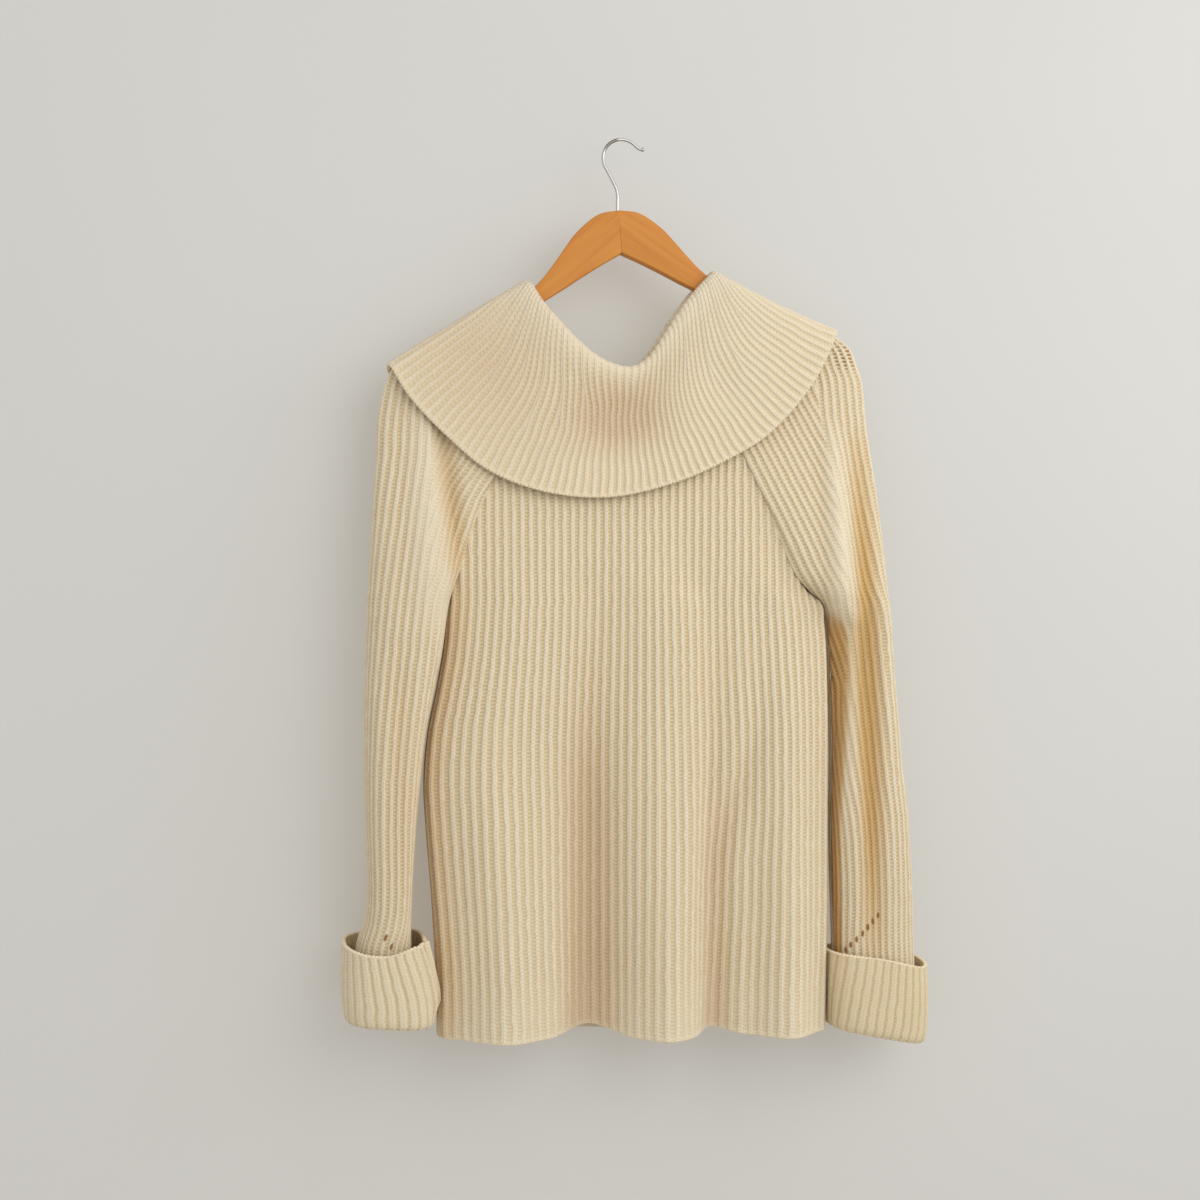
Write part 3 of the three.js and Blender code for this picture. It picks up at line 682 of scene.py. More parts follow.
sleeveRight = asTable(
    sleeveNames,
    [
        (-139, 107, 117, -12.4, 12, 3, 0),
        (-156, 103, 150, -12.7, 12.7, 4, 0),
        (-172, 99, 190.5, -12.8, 12.8, 4.5, 0),
        (-190, 92, 223, -12.8, 12.8, 4.5, 0),
        (-208, 85, 233, -12.8, 12.8, 4.5, 0),
        (-226, 78, 239, -12.9, 12.9, 4.5, 0),
        (-265, 98, 243, -14, 13.2, 4, 0),
        (-306, 120, 248.5, -18, 15, 3.5, 0),
        (-345, 139, 253.5, -23, 18, 3, 3),
        (-385, 157, 258, -28, 22, 2.8, 6),
        (-412, 169, 261, -31, 25, 2.6, 9),
        (-430, 188.6, 262.5, -33, 27, 2.5, 12),
        (-441, 201.2, 263.5, -34, 28, 2.5, 15),
        (-458, 206, 265, -34, 29, 2.5, 20),
        (-485, 209.5, 266.5, -34, 30, 2.5, 21),
        (-520, 211, 269.5, -34, 31, 2.5, 17),
        (-560, 212, 273.5, -34, 31, 2.5, 11),
        (-605, 212, 278, -33, 30, 2.5, 5),
        (-650, 211, 284, -32, 28, 2.5, 1),
        (-700, 211.5, 287.5, -30, 26, 2.5, 0),
        (-735, 212.5, 289.5, -28, 25, 2.5, 0),
        (-770, 213.5, 290.5, -27, 24, 2.5, 0),
        (-806, 214, 292, -27, 24, 2.5, 0),
    ],
)
# Lengthwise creases: middle at the top and the bottom, half-width, top, bottom, how far forward,
# warmth of the shade in it, and how far the ribs are stretched flat
creaseNames = "high low reach top bottom forward warmth flat"
creasesLeft = [
    (-188, -187, 26, -240, -480, 6, 0.0, 0.75),
    (-177, -150, 17, -250, -485, -8, 0.5, 0.0),
    (-214, -216, 22, -470, -740, -5, 0.2, 0.0),
    (-172, -176, 12, -405, -500, 3, 0.0, 0.6),
]
creasesRight = [
    (204, 211, 18, -262, -500, 7, 0.0, 0.85),
    (227, 212, 12, -440, -680, 3, 0.0, 0.6),
    (231, 245, 19, -265, -800, -10, 1.3, 0.15),
]


# Front and back: where a sleeve's two rib families meet, as level and place. The seam runs
# straight on from seamEnd. Eyelets: places of the first and the last, and how many
sleeveSides = {
    "left": {
        "isLeft": True,
        "table": sleeveLeft,
        "creases": creasesLeft,
        "rows": 150,
        "front": [
            (-191, -160), (-226, -172), (-306, -184), (-385, -189),
            (-430, -189), (-455, -184), (-520, -178),
        ],
        "back": [
            (-165, -112), (-226, -135), (-300, -170), (-385, -195),
            (-441, -190), (-475, -155),
        ],
        "seamEnd": (-385, -152, 0.0),
        "wallShade": 0.3,
        # a spot of open stitches, drawn as painted shade seen through them
        "lacy": (0, 0, 1, 0.0),  # middle, reach, how open
        "eyelets": ((-227, -743.5), (-222.5, -750), 2),
    },
    "right": {
        "isLeft": False,
        "table": sleeveRight,
        "creases": creasesRight,
        "rows": 160,
        "front": [
            (-226, 188), (-306, 202), (-385, 209), (-430, 214),
            (-455, 222), (-520, 220), (-720, 196),
        ],
        "back": [
            (-160, 116), (-226, 145), (-300, 180), (-385, 212),
            (-441, 216), (-520, 205), (-640, 190),
        ],
        "seamEnd": (-385, 157, 0.4),
        "wallShade": 1.0,
        "lacy": (219, -202, 21, 1.4),
        "eyelets": ((219, -776.5), (249, -743), 7),
    },
}


def creaseSum(creases, x, z, kind):
    total = 0.0
    for row in creases:
        crease = dict(zip(creaseNames.split(), row))
        along = np.clip((z - crease["bottom"]) / (crease["top"] - crease["bottom"]), 0, 1)
        fade = np.sin(math.pi * along) ** sleeve["creaseFade"]
        aside = x - crease["low"] - (crease["high"] - crease["low"]) * along
        total = total + crease[kind] * swell(aside, crease["reach"]) * fade
    return total


def sleevePoint(table, creases, turn, z):
    row = {name: readColumn(table, "z", name, z) for name in sleeveNames.split()[1:]}
    middle = (row["front"] + row["back"]) / 2
    isFront = turn <= 0.5
    u = (1 - np.cos(2 * math.pi * turn)) / 2
    raglanY = np.where(
        isFront, readColumn(raglan, "z", "front", z), readColumn(raglan, "z", "back", z)
    )
    neckY = np.where(isFront, row["front"], row["back"])
    innerY = np.where(z > body["neckSide"], neckY, np.where(z > body["underarm"], raglanY, 0.0))
    edge = innerY + (middle - innerY) * smooth(u)
    x = row["inner"] + (row["outer"] - row["inner"]) * u
    rise = sideRise(u, row["square"])
    plainY = edge + (np.where(isFront, row["front"], row["back"]) - edge) * rise
    # The front is pushed outwards over the inner edge, but not where the raglan seam holds it
    forward = np.maximum(middle - plainY, 0) / ((row["back"] - row["front"]) / 2)
    seamHold = smooth(1 - (body["underarm"] - z) / sleeve["seamHold"])
    held = seamHold * swell(x - row["inner"], np.abs(row["outer"] - row["inner"]) / 2)
    x = x + row["skew"] * forward * (1 - u) * (1 - held)
    y = plainY - np.where(isFront, creaseSum(creases, x, z, "forward") * rise, 0.0)
    return np.stack([x, y, np.broadcast_to(z, x.shape)], axis=-1)


def sleeveGrid(use):
    table, creases, rows, isLeft = (use[key] for key in ("table", "creases", "rows", "isLeft"))
    top, bottom = table["z"][0], table["z"][-1]
    levels = np.linspace(top, bottom, rows)
    half = fineSteps["round"] // 2
    fineTurn = np.linspace(0, 1, 2 * half + 1)
    fine = sleevePoint(table, creases, fineTurn[None, :], levels[:, None])
    length = lengthAlong(fine)
    total, outer = length[:, -1], length[:, half]
    under = np.searchsorted(-levels, -body["underarm"])
    ribCount = round(total[under] / sleeve["ribPitch"])
    above = levels > body["underarm"]
    steady = total[under] / ribCount
    lower = smooth((body["underarm"] - levels) / sleeve["narrowOver"])
    pitch = steady * (1 - sleeve["narrowing"] * lower)
    share = np.linspace(0, 1, sleeve["columns"] + 1)
    turn = np.array([np.interp(share * total[k], length[k], fineTurn) for k in range(rows)])
    points = sleevePoint(table, creases, turn, levels[:, None])
    place = share[None, :] * total[:, None]
    # Above the neck side the ribs keep the slant of the raglan seam
    inner = readColumn(table, "z", "inner", levels)
    seamSlope = (raglan["left"][1] - raglan["left"][0]) / (raglan["z"][1] - raglan["z"][0])
    neckX = readColumn(table, "z", "inner", body["neckSide"])
    virtual = neckX + (seamSlope if isLeft else -seamSlope) * (levels - body["neckSide"])
    offset = np.where(levels > body["neckSide"], np.abs(inner - virtual), 0.0)
    # Where the seam turns in to the underarm it cuts across the ribs, which go straight on
    endLevel, endX, lean = use["seamEnd"]
    straight = endX + lean * (endLevel - levels)
    cut = np.where(levels < endLevel, np.maximum(inner - straight, 0), 0.0)
    offset = offset + (0.0 if isLeft else cut)

    # The wall towards the body deepens down to the underarm, and new ribs come out of the seam
    def wallMiss(column, end):
        run = np.abs(length[:, column] - length[:, end])
        depth = run - np.abs(fine[:, column, 0] - fine[:, end, 0])
        return np.where(above | (not isLeft), depth[under] - depth, 0.0)

    fromFront = (place + (offset + wallMiss(half // 2, 0))[:, None]) / pitch[:, None]
    backPlace = total[:, None] - place + (offset + wallMiss(half * 3 // 2, -1))[:, None]
    fromBack = ribCount - backPlace / pitch[:, None]
    fromOuter = outer[under] / steady + (place - outer[:, None]) / pitch[:, None]
    # Beside each raglan seam a wedge of ribs runs with the seam; the others run with the sleeve
    x, isBack = points[:, :, 0], turn > 0.5

    def outside(line):
        keys, edges = zip(*line)
        edge = np.interp(-levels, [-key for key in keys], edges)[:, None]
        return smooth((x - edge) * (-1 if isLeft else 1) / sleeve["wedgeBlend"] + 0.5)

    # painted shade of a warmer tint in the creases, and how far their ribs are stretched flat
    warmth = creaseSum(creases, x, levels[:, None], "warmth")
    flatness = creaseSum(creases, x, levels[:, None], "flat")
    # The wall under the arm, between body and sleeve, is lit by wool alone, so it gets painted shade
    # of a warmer tint
    wallShade = smooth(2 * (1 - turn / sleeve["wallTurn"])) * use["wallShade"]
    wallShade = wallShade * smooth((body["underarm"] - levels[:, None]) / sleeve["seamHold"])
    # open stitches near the shoulder tip, drawn as painted shade seen through them
    spotX, spotZ, reach, loose = use["lacy"]
    lace = swell(x - spotX, reach) * swell(levels[:, None] - spotZ, reach) * ~isBack
    return {
        "points": points,
        "rib": fromOuter,
        "beside": np.where(isBack, fromBack, fromFront),
        "blend": 1 - np.where(isBack, outside(use["back"]), outside(use["front"])),
        "row": np.broadcast_to(-levels[:, None] / sleeve["rowPitch"], x.shape),
        "warm": np.where(isBack, 0.0, warmth + wallShade),
        "dim": np.where(isBack, 0.0, wallShade),
        "tight": np.full_like(x, sleeve["closed"]),
        "ribDepth": 1 - np.where(isBack, 0.0, np.clip(flatness, 0, sleeve["flatMost"])),
        "lace": lace * loose,
        "ribCount": ribCount,
    }


def stitchAt(grid, x, z):  # rib and row of the stitch at a place on a sleeve's front
    points = grid["points"]
    far = np.hypot(points[:, :, 0] - x, points[:, :, 2] - z)
    far = np.where(points[:, :, 1] < 0, far, np.inf)
    index = np.unravel_index(np.argmin(far), far.shape)
    return float(grid["rib"][index]), float(grid["row"][index])


# Turned-back cuffs: rings from the seam inside, down to the fold, and up to the rim
cuff = {
    "square": 3.1,
    "ribs": 30,
    "rowPitch": 3.3,
    "perRib": 8,  # columns of faces for each rib, and rows of faces
    "rows": 44,
    "weltFrom": 0.42,  # way from the inner seam (0) to the rim (1)
    "weltBlend": 0.12,
    "twistFrom": 0.4,
    "twistReach": 0.4,
    "rimFlat": 0.6,
    # painted shade of a warmer tint on the inside of a cuff
    "insideWarmth": 0.25,
}
cuffNames = "left right front back z fall"
cuffLeft = [
    (-252, -200, -38, 32, -784, 0),
    (-254, -194, -40, 34, -804, 2),
    (-257, -189, -43, 37, -819, 5),
    (-260, -185, -46, 40, -823.5, 7),
    (-262, -182, -48.5, 42.5, -819, 7),
    (-263.5, -181, -49.5, 43.5, -800, 5),
    (-263.5, -184.5, -49, 43, -776, 1),
    (-262.5, -190, -48, 42, -751, -3),
]
cuffRight = [
    (213, 292, -27, 24, -806, 0),
    (211, 295, -28.5, 25.5, -831, 8),
    (208.5, 297, -30, 27, -855, 16),
    (207, 299, -32, 29, -860, 20),
    (206, 301.5, -34, 31, -855, 20),
    (205, 303, -35, 32, -836, 19),
    (204.5, 303.5, -35, 32, -812, 16),
    (204.5, 302.5, -34, 31, -785, 13),
]


# Dip: where the rim sinks, as angle round the cuff, half-width and depth. Twist: how far the ribs
# lean at the rim, in ribs, and the share of the way round. Welts: a raised seam's angle round the
# cuff at the fold and at the rim, half-width and height
# Shade: how much painted shade darkens the outside of the cuff
cuffSides = {
    "left": {
        "rings": cuffLeft,
        "dip": (85, 75, 7.0),
        "twist": (-1.5, 0.45),
        "welts": [(163, 140, 9, 3.0), (180, 158, 9, 4.5)],
        "shade": 0.4,
    },
    "right": {
        "rings": cuffRight,
        "dip": (140, 60, 5.0),
        "twist": (1.4, 0.1),
        "welts": [],
        "shade": 0.75,
    },
}


def cuffGrid(use):
    table = asTable(cuffNames, use["rings"])
    steps = np.hypot(np.diff(table["z"]), np.diff(table["left"]))
    table["way"] = np.concatenate([[0], np.cumsum(steps)])
    rows, end = cuff["rows"], table["way"][-1]
    way = np.linspace(0, end, rows)
    ring = {name: readColumn(table, "way", name, way)[:, None] for name in cuffNames.split()}
    ring["way"] = way[:, None]

    def point(angle):
        across = -np.cos(angle)
        rise = np.sign(np.sin(angle)) * np.maximum(1 - np.abs(across) ** cuff["square"], 0) ** (
            1 / cuff["square"]
        )
        x = (ring["left"] + ring["right"]) / 2 + across * (ring["right"] - ring["left"]) / 2
        y = (ring["front"] + ring["back"]) / 2 - rise * (ring["back"] - ring["front"]) / 2
        past = ring["way"] / end - cuff["weltFrom"]
        share = np.clip(past / cuff["weltBlend"], 0, 1)
        run = np.clip(past / (1 - cuff["weltFrom"]), 0, 1)
        for low, high, reach, tall in use["welts"]:
            aside = np.degrees(angle) - low - (high - low) * run
            lift = tall * swell(aside, reach) * smooth(share)
            x, y = x - lift * np.cos(angle), y - lift * np.sin(angle)
        middle, reach, deep = use["dip"]
        sunk = deep * swell(np.degrees(angle) - middle, reach) * smooth(run)
        return np.stack([x, y, ring["z"] - ring["fall"] * across / 2 - sunk], axis=-1)

    fineAngle = np.linspace(0, 2 * math.pi, fineSteps["cuff"] + 1)[None, :].repeat(rows, axis=0)
    length = lengthAlong(point(fineAngle))
    columns = cuff["ribs"] * cuff["perRib"]
    share = np.arange(columns) / columns
    turned = np.maximum(way / end - cuff["twistFrom"], 0) / (1 - cuff["twistFrom"])
    ribsOver, where = use["twist"]
    shift = ribsOver / cuff["ribs"] * swell(share - where, cuff["twistReach"])
    place = (share[None, :] + shift[None, :] * turned[:, None]) % 1.0
    angle = np.array(
        [np.interp(place[k] * length[k, -1], length[k], fineAngle[k]) for k in range(rows)]
    )
    shape = (rows, columns)
    return {
        "points": point(angle),
        "rib": np.broadcast_to(share * cuff["ribs"], shape),
        "row": np.broadcast_to(way[:, None] / cuff["rowPitch"], shape),
        "tight": np.ones(shape),
        # painted shade over the cuff's outside; its inside takes painted shade of a warmer tint
        # instead
        "dim": np.full(shape, use["shade"]),
        "inside": {"warm": cuff["insideWarmth"], "dim": -use["shade"]},
        "ribDepth": np.ones(shape) - cuff["rimFlat"] * (np.arange(rows) == rows - 1)[:, None],
        "ribCount": cuff["ribs"],
    }


# Collar: its seam, fold and free edge, each from the left shoulder to the right shoulder
collar = {
    "square": 7.0,
    "swell": (1.0, -2.5),  # of the shoulder line, at the left and at the right
    "layerStep": 8.0,
    "ribs": 68,  # in each half
    "rowPitch": 3.3,
    "height": 120.0,  # about, of the stand and of the cape
    "perRib": 6,  # columns of faces for each rib, and rows of faces
    "rows": {"stand": 5, "fold": 12, "cape": 30},
    "curl": 0.035,  # rounding of the fold
    "foldSpread": 0.23,
    "foldLeast": 0.32,
    "settled": 0.55,  # way down the cape by which the ribs are evenly spread
    "closedFork": 0.16,
    "widePitch": 7.5,  # between ribs that stand at full height
    "foldFlat": 0.68,  # how much flatter the ribs are on the fold, at the edge and at the shoulders
    "edgeFlat": 0.65,
    "sideCalm": 0.22,
    "sway": 0.7,  # of the ribs, and its waves down and across the cape
    "swayWaves": ((16, 21), (5, -13)),
    "frontShade": 1.3,
    "backShade": 0.3,
}
collarLines = asTable(
    "at seamX seamZ foldX foldZ edgeX edgeZ",
    [
        (0, -118, -161, -91, -140.5, -221, -223),
        (0.1, -104, -180, -81, -157, -203, -252),
        (0.2, -90, -204, -66, -174, -171, -285),
        (0.3, -72, -230, -46, -194, -131, -317),
        (0.4, -38, -248, -23, -211, -78, -336),
        (0.5, 2, -253, 3, -218, -18, -340),
        (0.6, 42, -248, 22, -209, 41, -327),
        (0.7, 75, -230, 38, -187, 93, -305),
        (0.8, 92, -200, 53, -164, 140, -276),
        (0.9, 103, -170, 70, -142, 181, -230),
        (1, 114, -140, 87, -124.5, 210, -178),
    ],
)
# From the seam (-1) over the fold (0) to the free edge (1): depth at the front and the back
collarProfile = asTable(
    "way front back",
    [
        (-1, 9.8, 9.8),
        (-0.5, 9.6, 9.6),
        (-0.14, 10, 9.9),
        (0, 14.2, 13.6),
        (0.05, 18.6, 17.6),
        (0.22, 19.4, 18),
        (0.42, 19.6, 18),
        (0.62, 20.4, 18.8),
        (0.82, 22, 20),
        (1, 24.5, 22),
    ],
)
# Where two ribs of a half run together towards the fold: the first rib, and how far down
frontForks = [
    (7, 0.3),
    (11, 0.5),
    (15, 0.34),
    (19, 0.62),
    (23, 0.45),
    (27, 0.28),
    (45, 0.2),
    (50, 0.4),
    (55, 0.5),
    (60, 0.3),
]
backForks = [(5, 0.3), (11, 0.45), (18, 0.55), (25, 0.25), (43, 0.3), (50, 0.5), (57, 0.4)]
# Soft hollows of the cape, and where it lies in shade: place across, lean, place down,
# half-width, half-height, depth or share
capeHollows = [
    (0.47, 0.0, 0.42, 0.13, 0.4, 3.5),
    (0.2, 0.0, 0.5, 0.08, 0.5, 2.0),
    (0.78, 0.0, 0.55, 0.07, 0.45, 2.0),
    (0.63, 0.0, 0.6, 0.08, 0.5, -1.5),
]
capeShades = [(0.48, 0.0, 0.4, 0.2, 0.42, 1.0), (0.14, 0.0, 0.55, 0.3, 0.7, 0.5)]


def collarPoint(isFront, at, way):
    lines = {name: readColumn(collarLines, "at", name, at) for name in collarLines if name != "at"}
    curl = collar["curl"]
    far = (np.sqrt(way**2 + curl**2) - curl) / (math.sqrt(1 + curl**2) - curl)
    isCape = way > 0
    toX = np.where(isCape, lines["edgeX"], lines["seamX"])
    toZ = np.where(isCape, lines["edgeZ"], lines["seamZ"])
    x = lines["foldX"] + (toX - lines["foldX"]) * far
    z = lines["foldZ"] + (toZ - lines["foldZ"]) * far
    rise = sideRise(at, collar["square"])
    swellLeft, swellRight = collar["swell"]
    tall = swellLeft + (swellRight - swellLeft) * at
    ridge = np.where(isCape, tall * 4 * far * (1 - far), 0.0)
    step = np.where(isCape, smooth(way / 0.05), 0.0)
    depth = readColumn(collarProfile, "way", "front" if isFront else "back", way)
    sunk = hollowDepth(capeHollows, at, way)
    y = (depth - np.where(isCape, sunk, 0.0)) * rise
    z = z + ridge + collar["layerStep"] / 2 * step * (1 - rise)
    return np.stack([x, -y if isFront else y, z], axis=-1)


def ribPlaces(way, forks, length):  # how wide each gap between ribs is along one half, at one row
    count = collar["ribs"]
    place = np.arange(count + 1) / count
    spread = np.exp(-(((place - 0.5) / collar["foldSpread"]) ** 2))
    atFold = collar["foldLeast"] + (1 - collar["foldLeast"]) * spread / spread.mean()
    ease = 1 - np.clip(1 - max(way, 0) / collar["settled"], 0, 1) ** 2
    pitch = atFold + (1 - atFold) * ease
    opened = np.ones(count + 1)
    closed = collar["closedFork"]
    for rib, down in forks:
        opened[rib] = closed + (1 - closed) * smooth((way - down + 0.06) / 0.2)
    taken = pitch * (1 - opened)
    pitch = pitch - taken
    for shift in (-3, -2, -1, 1, 2, 3):  # the ribs beside a fork close up on it
        pitch = pitch + np.roll(taken, shift) / 6
    pitch[0] *= 0.5
    pitch[-1] *= 0.5
    return pitch * length / pitch.sum(), opened


def collarGrid():
    rows = collar["rows"]
    stand, fold = np.linspace(-1, -0.2, rows["stand"]), np.linspace(-0.16, 0.1, rows["fold"])
    ways = np.concatenate([stand, fold, np.linspace(0.125, 1, rows["cape"])])
    count, perRib = collar["ribs"], collar["perRib"]
    (firstDown, firstAcross), (nextDown, nextAcross) = collar["swayWaves"]
    fineAt = places(fineSteps["collar"])
    halves = []
    for isFront in (True, False):
        forks = frontForks if isFront else backForks
        shade = collar["frontShade" if isFront else "backShade"]
        made = []
        for way in ways:
            fine = collarPoint(isFront, fineAt, np.full_like(fineAt, way))
            length = lengthAlong(fine[None])[0]
            pitch, opened = ribPlaces(way, forks, length[-1])
            # Gap g lies between the middles of ribs g - 1 and g; the end gaps are halves
            bounds = np.concatenate([[0], np.cumsum(pitch)])
            knots = np.concatenate([[0.0], np.arange(count) + 0.5, [float(count)]])
            ribs = np.arange(count * perRib + 1) / perRib
            place = np.interp(ribs, knots, bounds)
            at = place / length[-1]
            sway = np.sin(firstDown * way + firstAcross * at) * sideRise(at, 2)
            sway = sway * np.sin(nextDown * way + nextAcross * at)
            place = place + collar["sway"] * smooth(way / 0.2) * sway
            points = collarPoint(isFront, np.interp(place, length, fineAt), np.full(len(ribs), way))
            gap = np.clip(np.round(ribs).astype(int), 0, count)
            wide = np.where((gap == 0) | (gap == count), pitch[gap] * 2, pitch[gap])
            parted = smooth((opened[gap] - collar["closedFork"]) / 0.5)
            offFold = smooth((abs(way - 0.02) - 0.02) / 0.17)
            flat = (1 - collar["foldFlat"] * (1 - offFold)) * (1 - collar["edgeFlat"] * (way == 1))
            calm = 1 - collar["sideCalm"] * smooth((np.abs(at - 0.5) - 0.1) / 0.22)
            tall = np.clip(wide / collar["widePitch"], 0.12, 1.1) * parted * flat * calm
            tight = np.full(len(ribs), 0.5 + 0.5 * smooth((way - 0.45) / 0.35))
            dim = hollowDepth(capeShades, at, way) * shade
            made.append((points, ribs if isFront else 2 * count - ribs, tall, tight, dim))
        halves.append([np.array(values) for values in zip(*made)])
    joined = [np.concatenate([a, b[:, -2:0:-1]], axis=1) for a, b in zip(*halves)]
    grid = dict(zip(("points", "rib", "ribDepth", "tight", "dim"), joined))
    row = (ways - ways[0]) * collar["height"] / collar["rowPitch"]
    grid["row"] = np.broadcast_to(row[:, None], grid["rib"].shape)
    grid["ribCount"] = 2 * count
    return grid


# Cloth: a closed shell on a grid of points, whose ribs a node tree then raises
cloth = {
    "wall": 2.6,
    "seamGap": 0.18,
    "ridge": 0.75,
    "valley": 0.65,
    "ridgeShare": 0.5,
    "linkLength": 3.6,  # of the cast-off chain
    "linkWide": 1.35,
    "linkDeep": 1.9,
    "sharpAngle": 72,
}
extraFields = {"blend": 0.0, "ribDepth": 1.0, "warm": 0.0, "dim": 0.0, "tight": 0.0, "lace": 0.0}


def gridNormals(points, isRing):
    if isRing:
        across = np.roll(points, -1, axis=1) - np.roll(points, 1, axis=1)
    else:
        across = np.gradient(points, axis=1)
    down = np.gradient(points, axis=0)
    normals = np.cross(down, across)
    return normals / np.maximum(np.linalg.norm(normals, axis=2, keepdims=True), 1e-9)


def drawBack(points, isRing):
    drawn = points.copy()

    def pull(edge, beside):
        step = beside - edge
        reach = np.maximum(np.linalg.norm(step, axis=-1, keepdims=True), 1e-6)
        return edge + step / reach * np.minimum(cloth["seamGap"], reach * 0.5)

    drawn[0] = pull(points[0], points[1])
    drawn[-1] = pull(points[-1], points[-2])
    if not isRing:
        drawn[:, 0] = pull(drawn[:, 0], drawn[:, 1])
        drawn[:, -1] = pull(drawn[:, -1], drawn[:, -2])
    return drawn


def shellFaces(rows, columns, isRing):
    ids = np.arange(rows * columns).reshape(rows, columns)
    if isRing:
        ids = np.concatenate([ids, ids[:, :1]], axis=1)
    inner = rows * columns
    a, b, c, d = ids[:-1, :-1], ids[1:, :-1], ids[1:, 1:], ids[:-1, 1:]

    def quads(*corners):
        return np.stack([corner.ravel() for corner in corners], axis=1)

    faces = [quads(a, b, c, d), quads(inner + a, inner + d, inner + c, inner + b)]
    top, low = ids[0], ids[-1]
    faces.append(quads(top[:-1], top[1:], inner + top[1:], inner + top[:-1]))
    faces.append(quads(low[1:], low[:-1], inner + low[:-1], inner + low[1:]))
    if not isRing:
        left, right = ids[:, 0], ids[:, -1]
        faces.append(quads(left[1:], left[:-1], inner + left[:-1], inner + left[1:]))
        faces.append(quads(right[:-1], right[1:], inner + right[1:], inner + right[:-1]))
    return np.concatenate(faces)


def addNumbers(mesh, name, values, kind="FLOAT", key="value"):
    layer = mesh.attributes.new(name, kind, "POINT")
    layer.data.foreach_set(key, values.astype(np.float32).ravel())


def makeShell(name, grid, isRing, isTurned, hasChain):
    points = grid["points"]
    fields = {
        key: np.broadcast_to(grid.get(key, usual), points.shape[:2])
        for key, usual in extraFields.items()
    }
    fields |= {"rib": grid["rib"], "row": grid["row"], "beside": grid.get("beside", grid["rib"])}
    if isTurned:
        points = points[:, ::-1]
        fields = {key: values[:, ::-1] for key, values in fields.items()}
    rows, columns = points.shape[:2]
    normals = gridNormals(points, isRing)
    edge = points[-1] if hasChain else points[:0, 0]
    points = drawBack(points, isRing)
    half = cloth["wall"] / 2
    sides = [(points + side * half * normals).reshape(-1, 3) for side in (1, -1)]
    vertices = np.concatenate([*sides, edge])
    faces = shellFaces(rows, columns, isRing)
    first, count = 2 * rows * columns, len(edge)
    links = first + np.stack([np.arange(count), np.roll(np.arange(count), -1)], axis=1)
    links = links if isRing else links[:-1]
    mesh = bpy.data.meshes.new(name)
    mesh.vertices.add(len(vertices))
    mesh.vertices.foreach_set("co", (vertices * mm).astype(np.float32).ravel())
    mesh.edges.add(len(links))
    mesh.edges.foreach_set("vertices", links.astype(np.int32).ravel())
    mesh.loops.add(faces.size)
    mesh.loops.foreach_set("vertex_index", faces.ravel().astype(np.int32))
    mesh.polygons.add(len(faces))
    mesh.polygons.foreach_set("loop_start", np.arange(0, faces.size, 4, dtype=np.int32))
    mesh.update(calc_edges=True)

    def both(values, innerShift=0.0):
        outer = np.asarray(values).ravel()
        return np.concatenate([outer, outer + innerShift, np.zeros(count)])

    inside = grid.get("inside", {})
    addNumbers(mesh, "rib", both(fields["rib"], 0.5))
    addNumbers(mesh, "ribBeside", both(fields["beside"], 0.5))
    for key in extraFields:
        addNumbers(mesh, key, both(fields[key], inside.get(key, 0.0)))
    isChain = np.arange(len(vertices)) >= first
    addNumbers(mesh, "chain", isChain.astype(float))
    flat = normals.reshape(-1, 3)
    outward = np.concatenate([flat, -flat, np.zeros((count, 3))])
    addNumbers(mesh, "outward", outward, "FLOAT_VECTOR", "vector")

    # Each face takes the rib count of one family, and a ring's last faces carry on counting
    own, other = both(fields["rib"]), both(fields["beside"])
    share = both(fields["blend"])[faces].mean(axis=1, keepdims=True)
    ribs = np.where(share > 0.5, other[faces], own[faces])
    if isRing:
        total = grid["ribCount"]
        lowest, highest = ribs.min(axis=1, keepdims=True), ribs.max(axis=1, keepdims=True)
        ribs = np.where((highest - lowest > total / 2) & (ribs < total / 2), ribs + total, ribs)
    uv = np.stack([ribs, both(fields["row"])[faces]], axis=-1)
    layer = mesh.uv_layers.new(name="knit")
    layer.data.foreach_set("uv", uv.astype(np.float32).ravel())
    mesh.validate()
    return mesh


ribBlend = 0.32  # half-width of a rib's flank, in ribs
linkShare, linkTurn = 0.68, 0.45  # half-length of a link in links, and its twist in radians


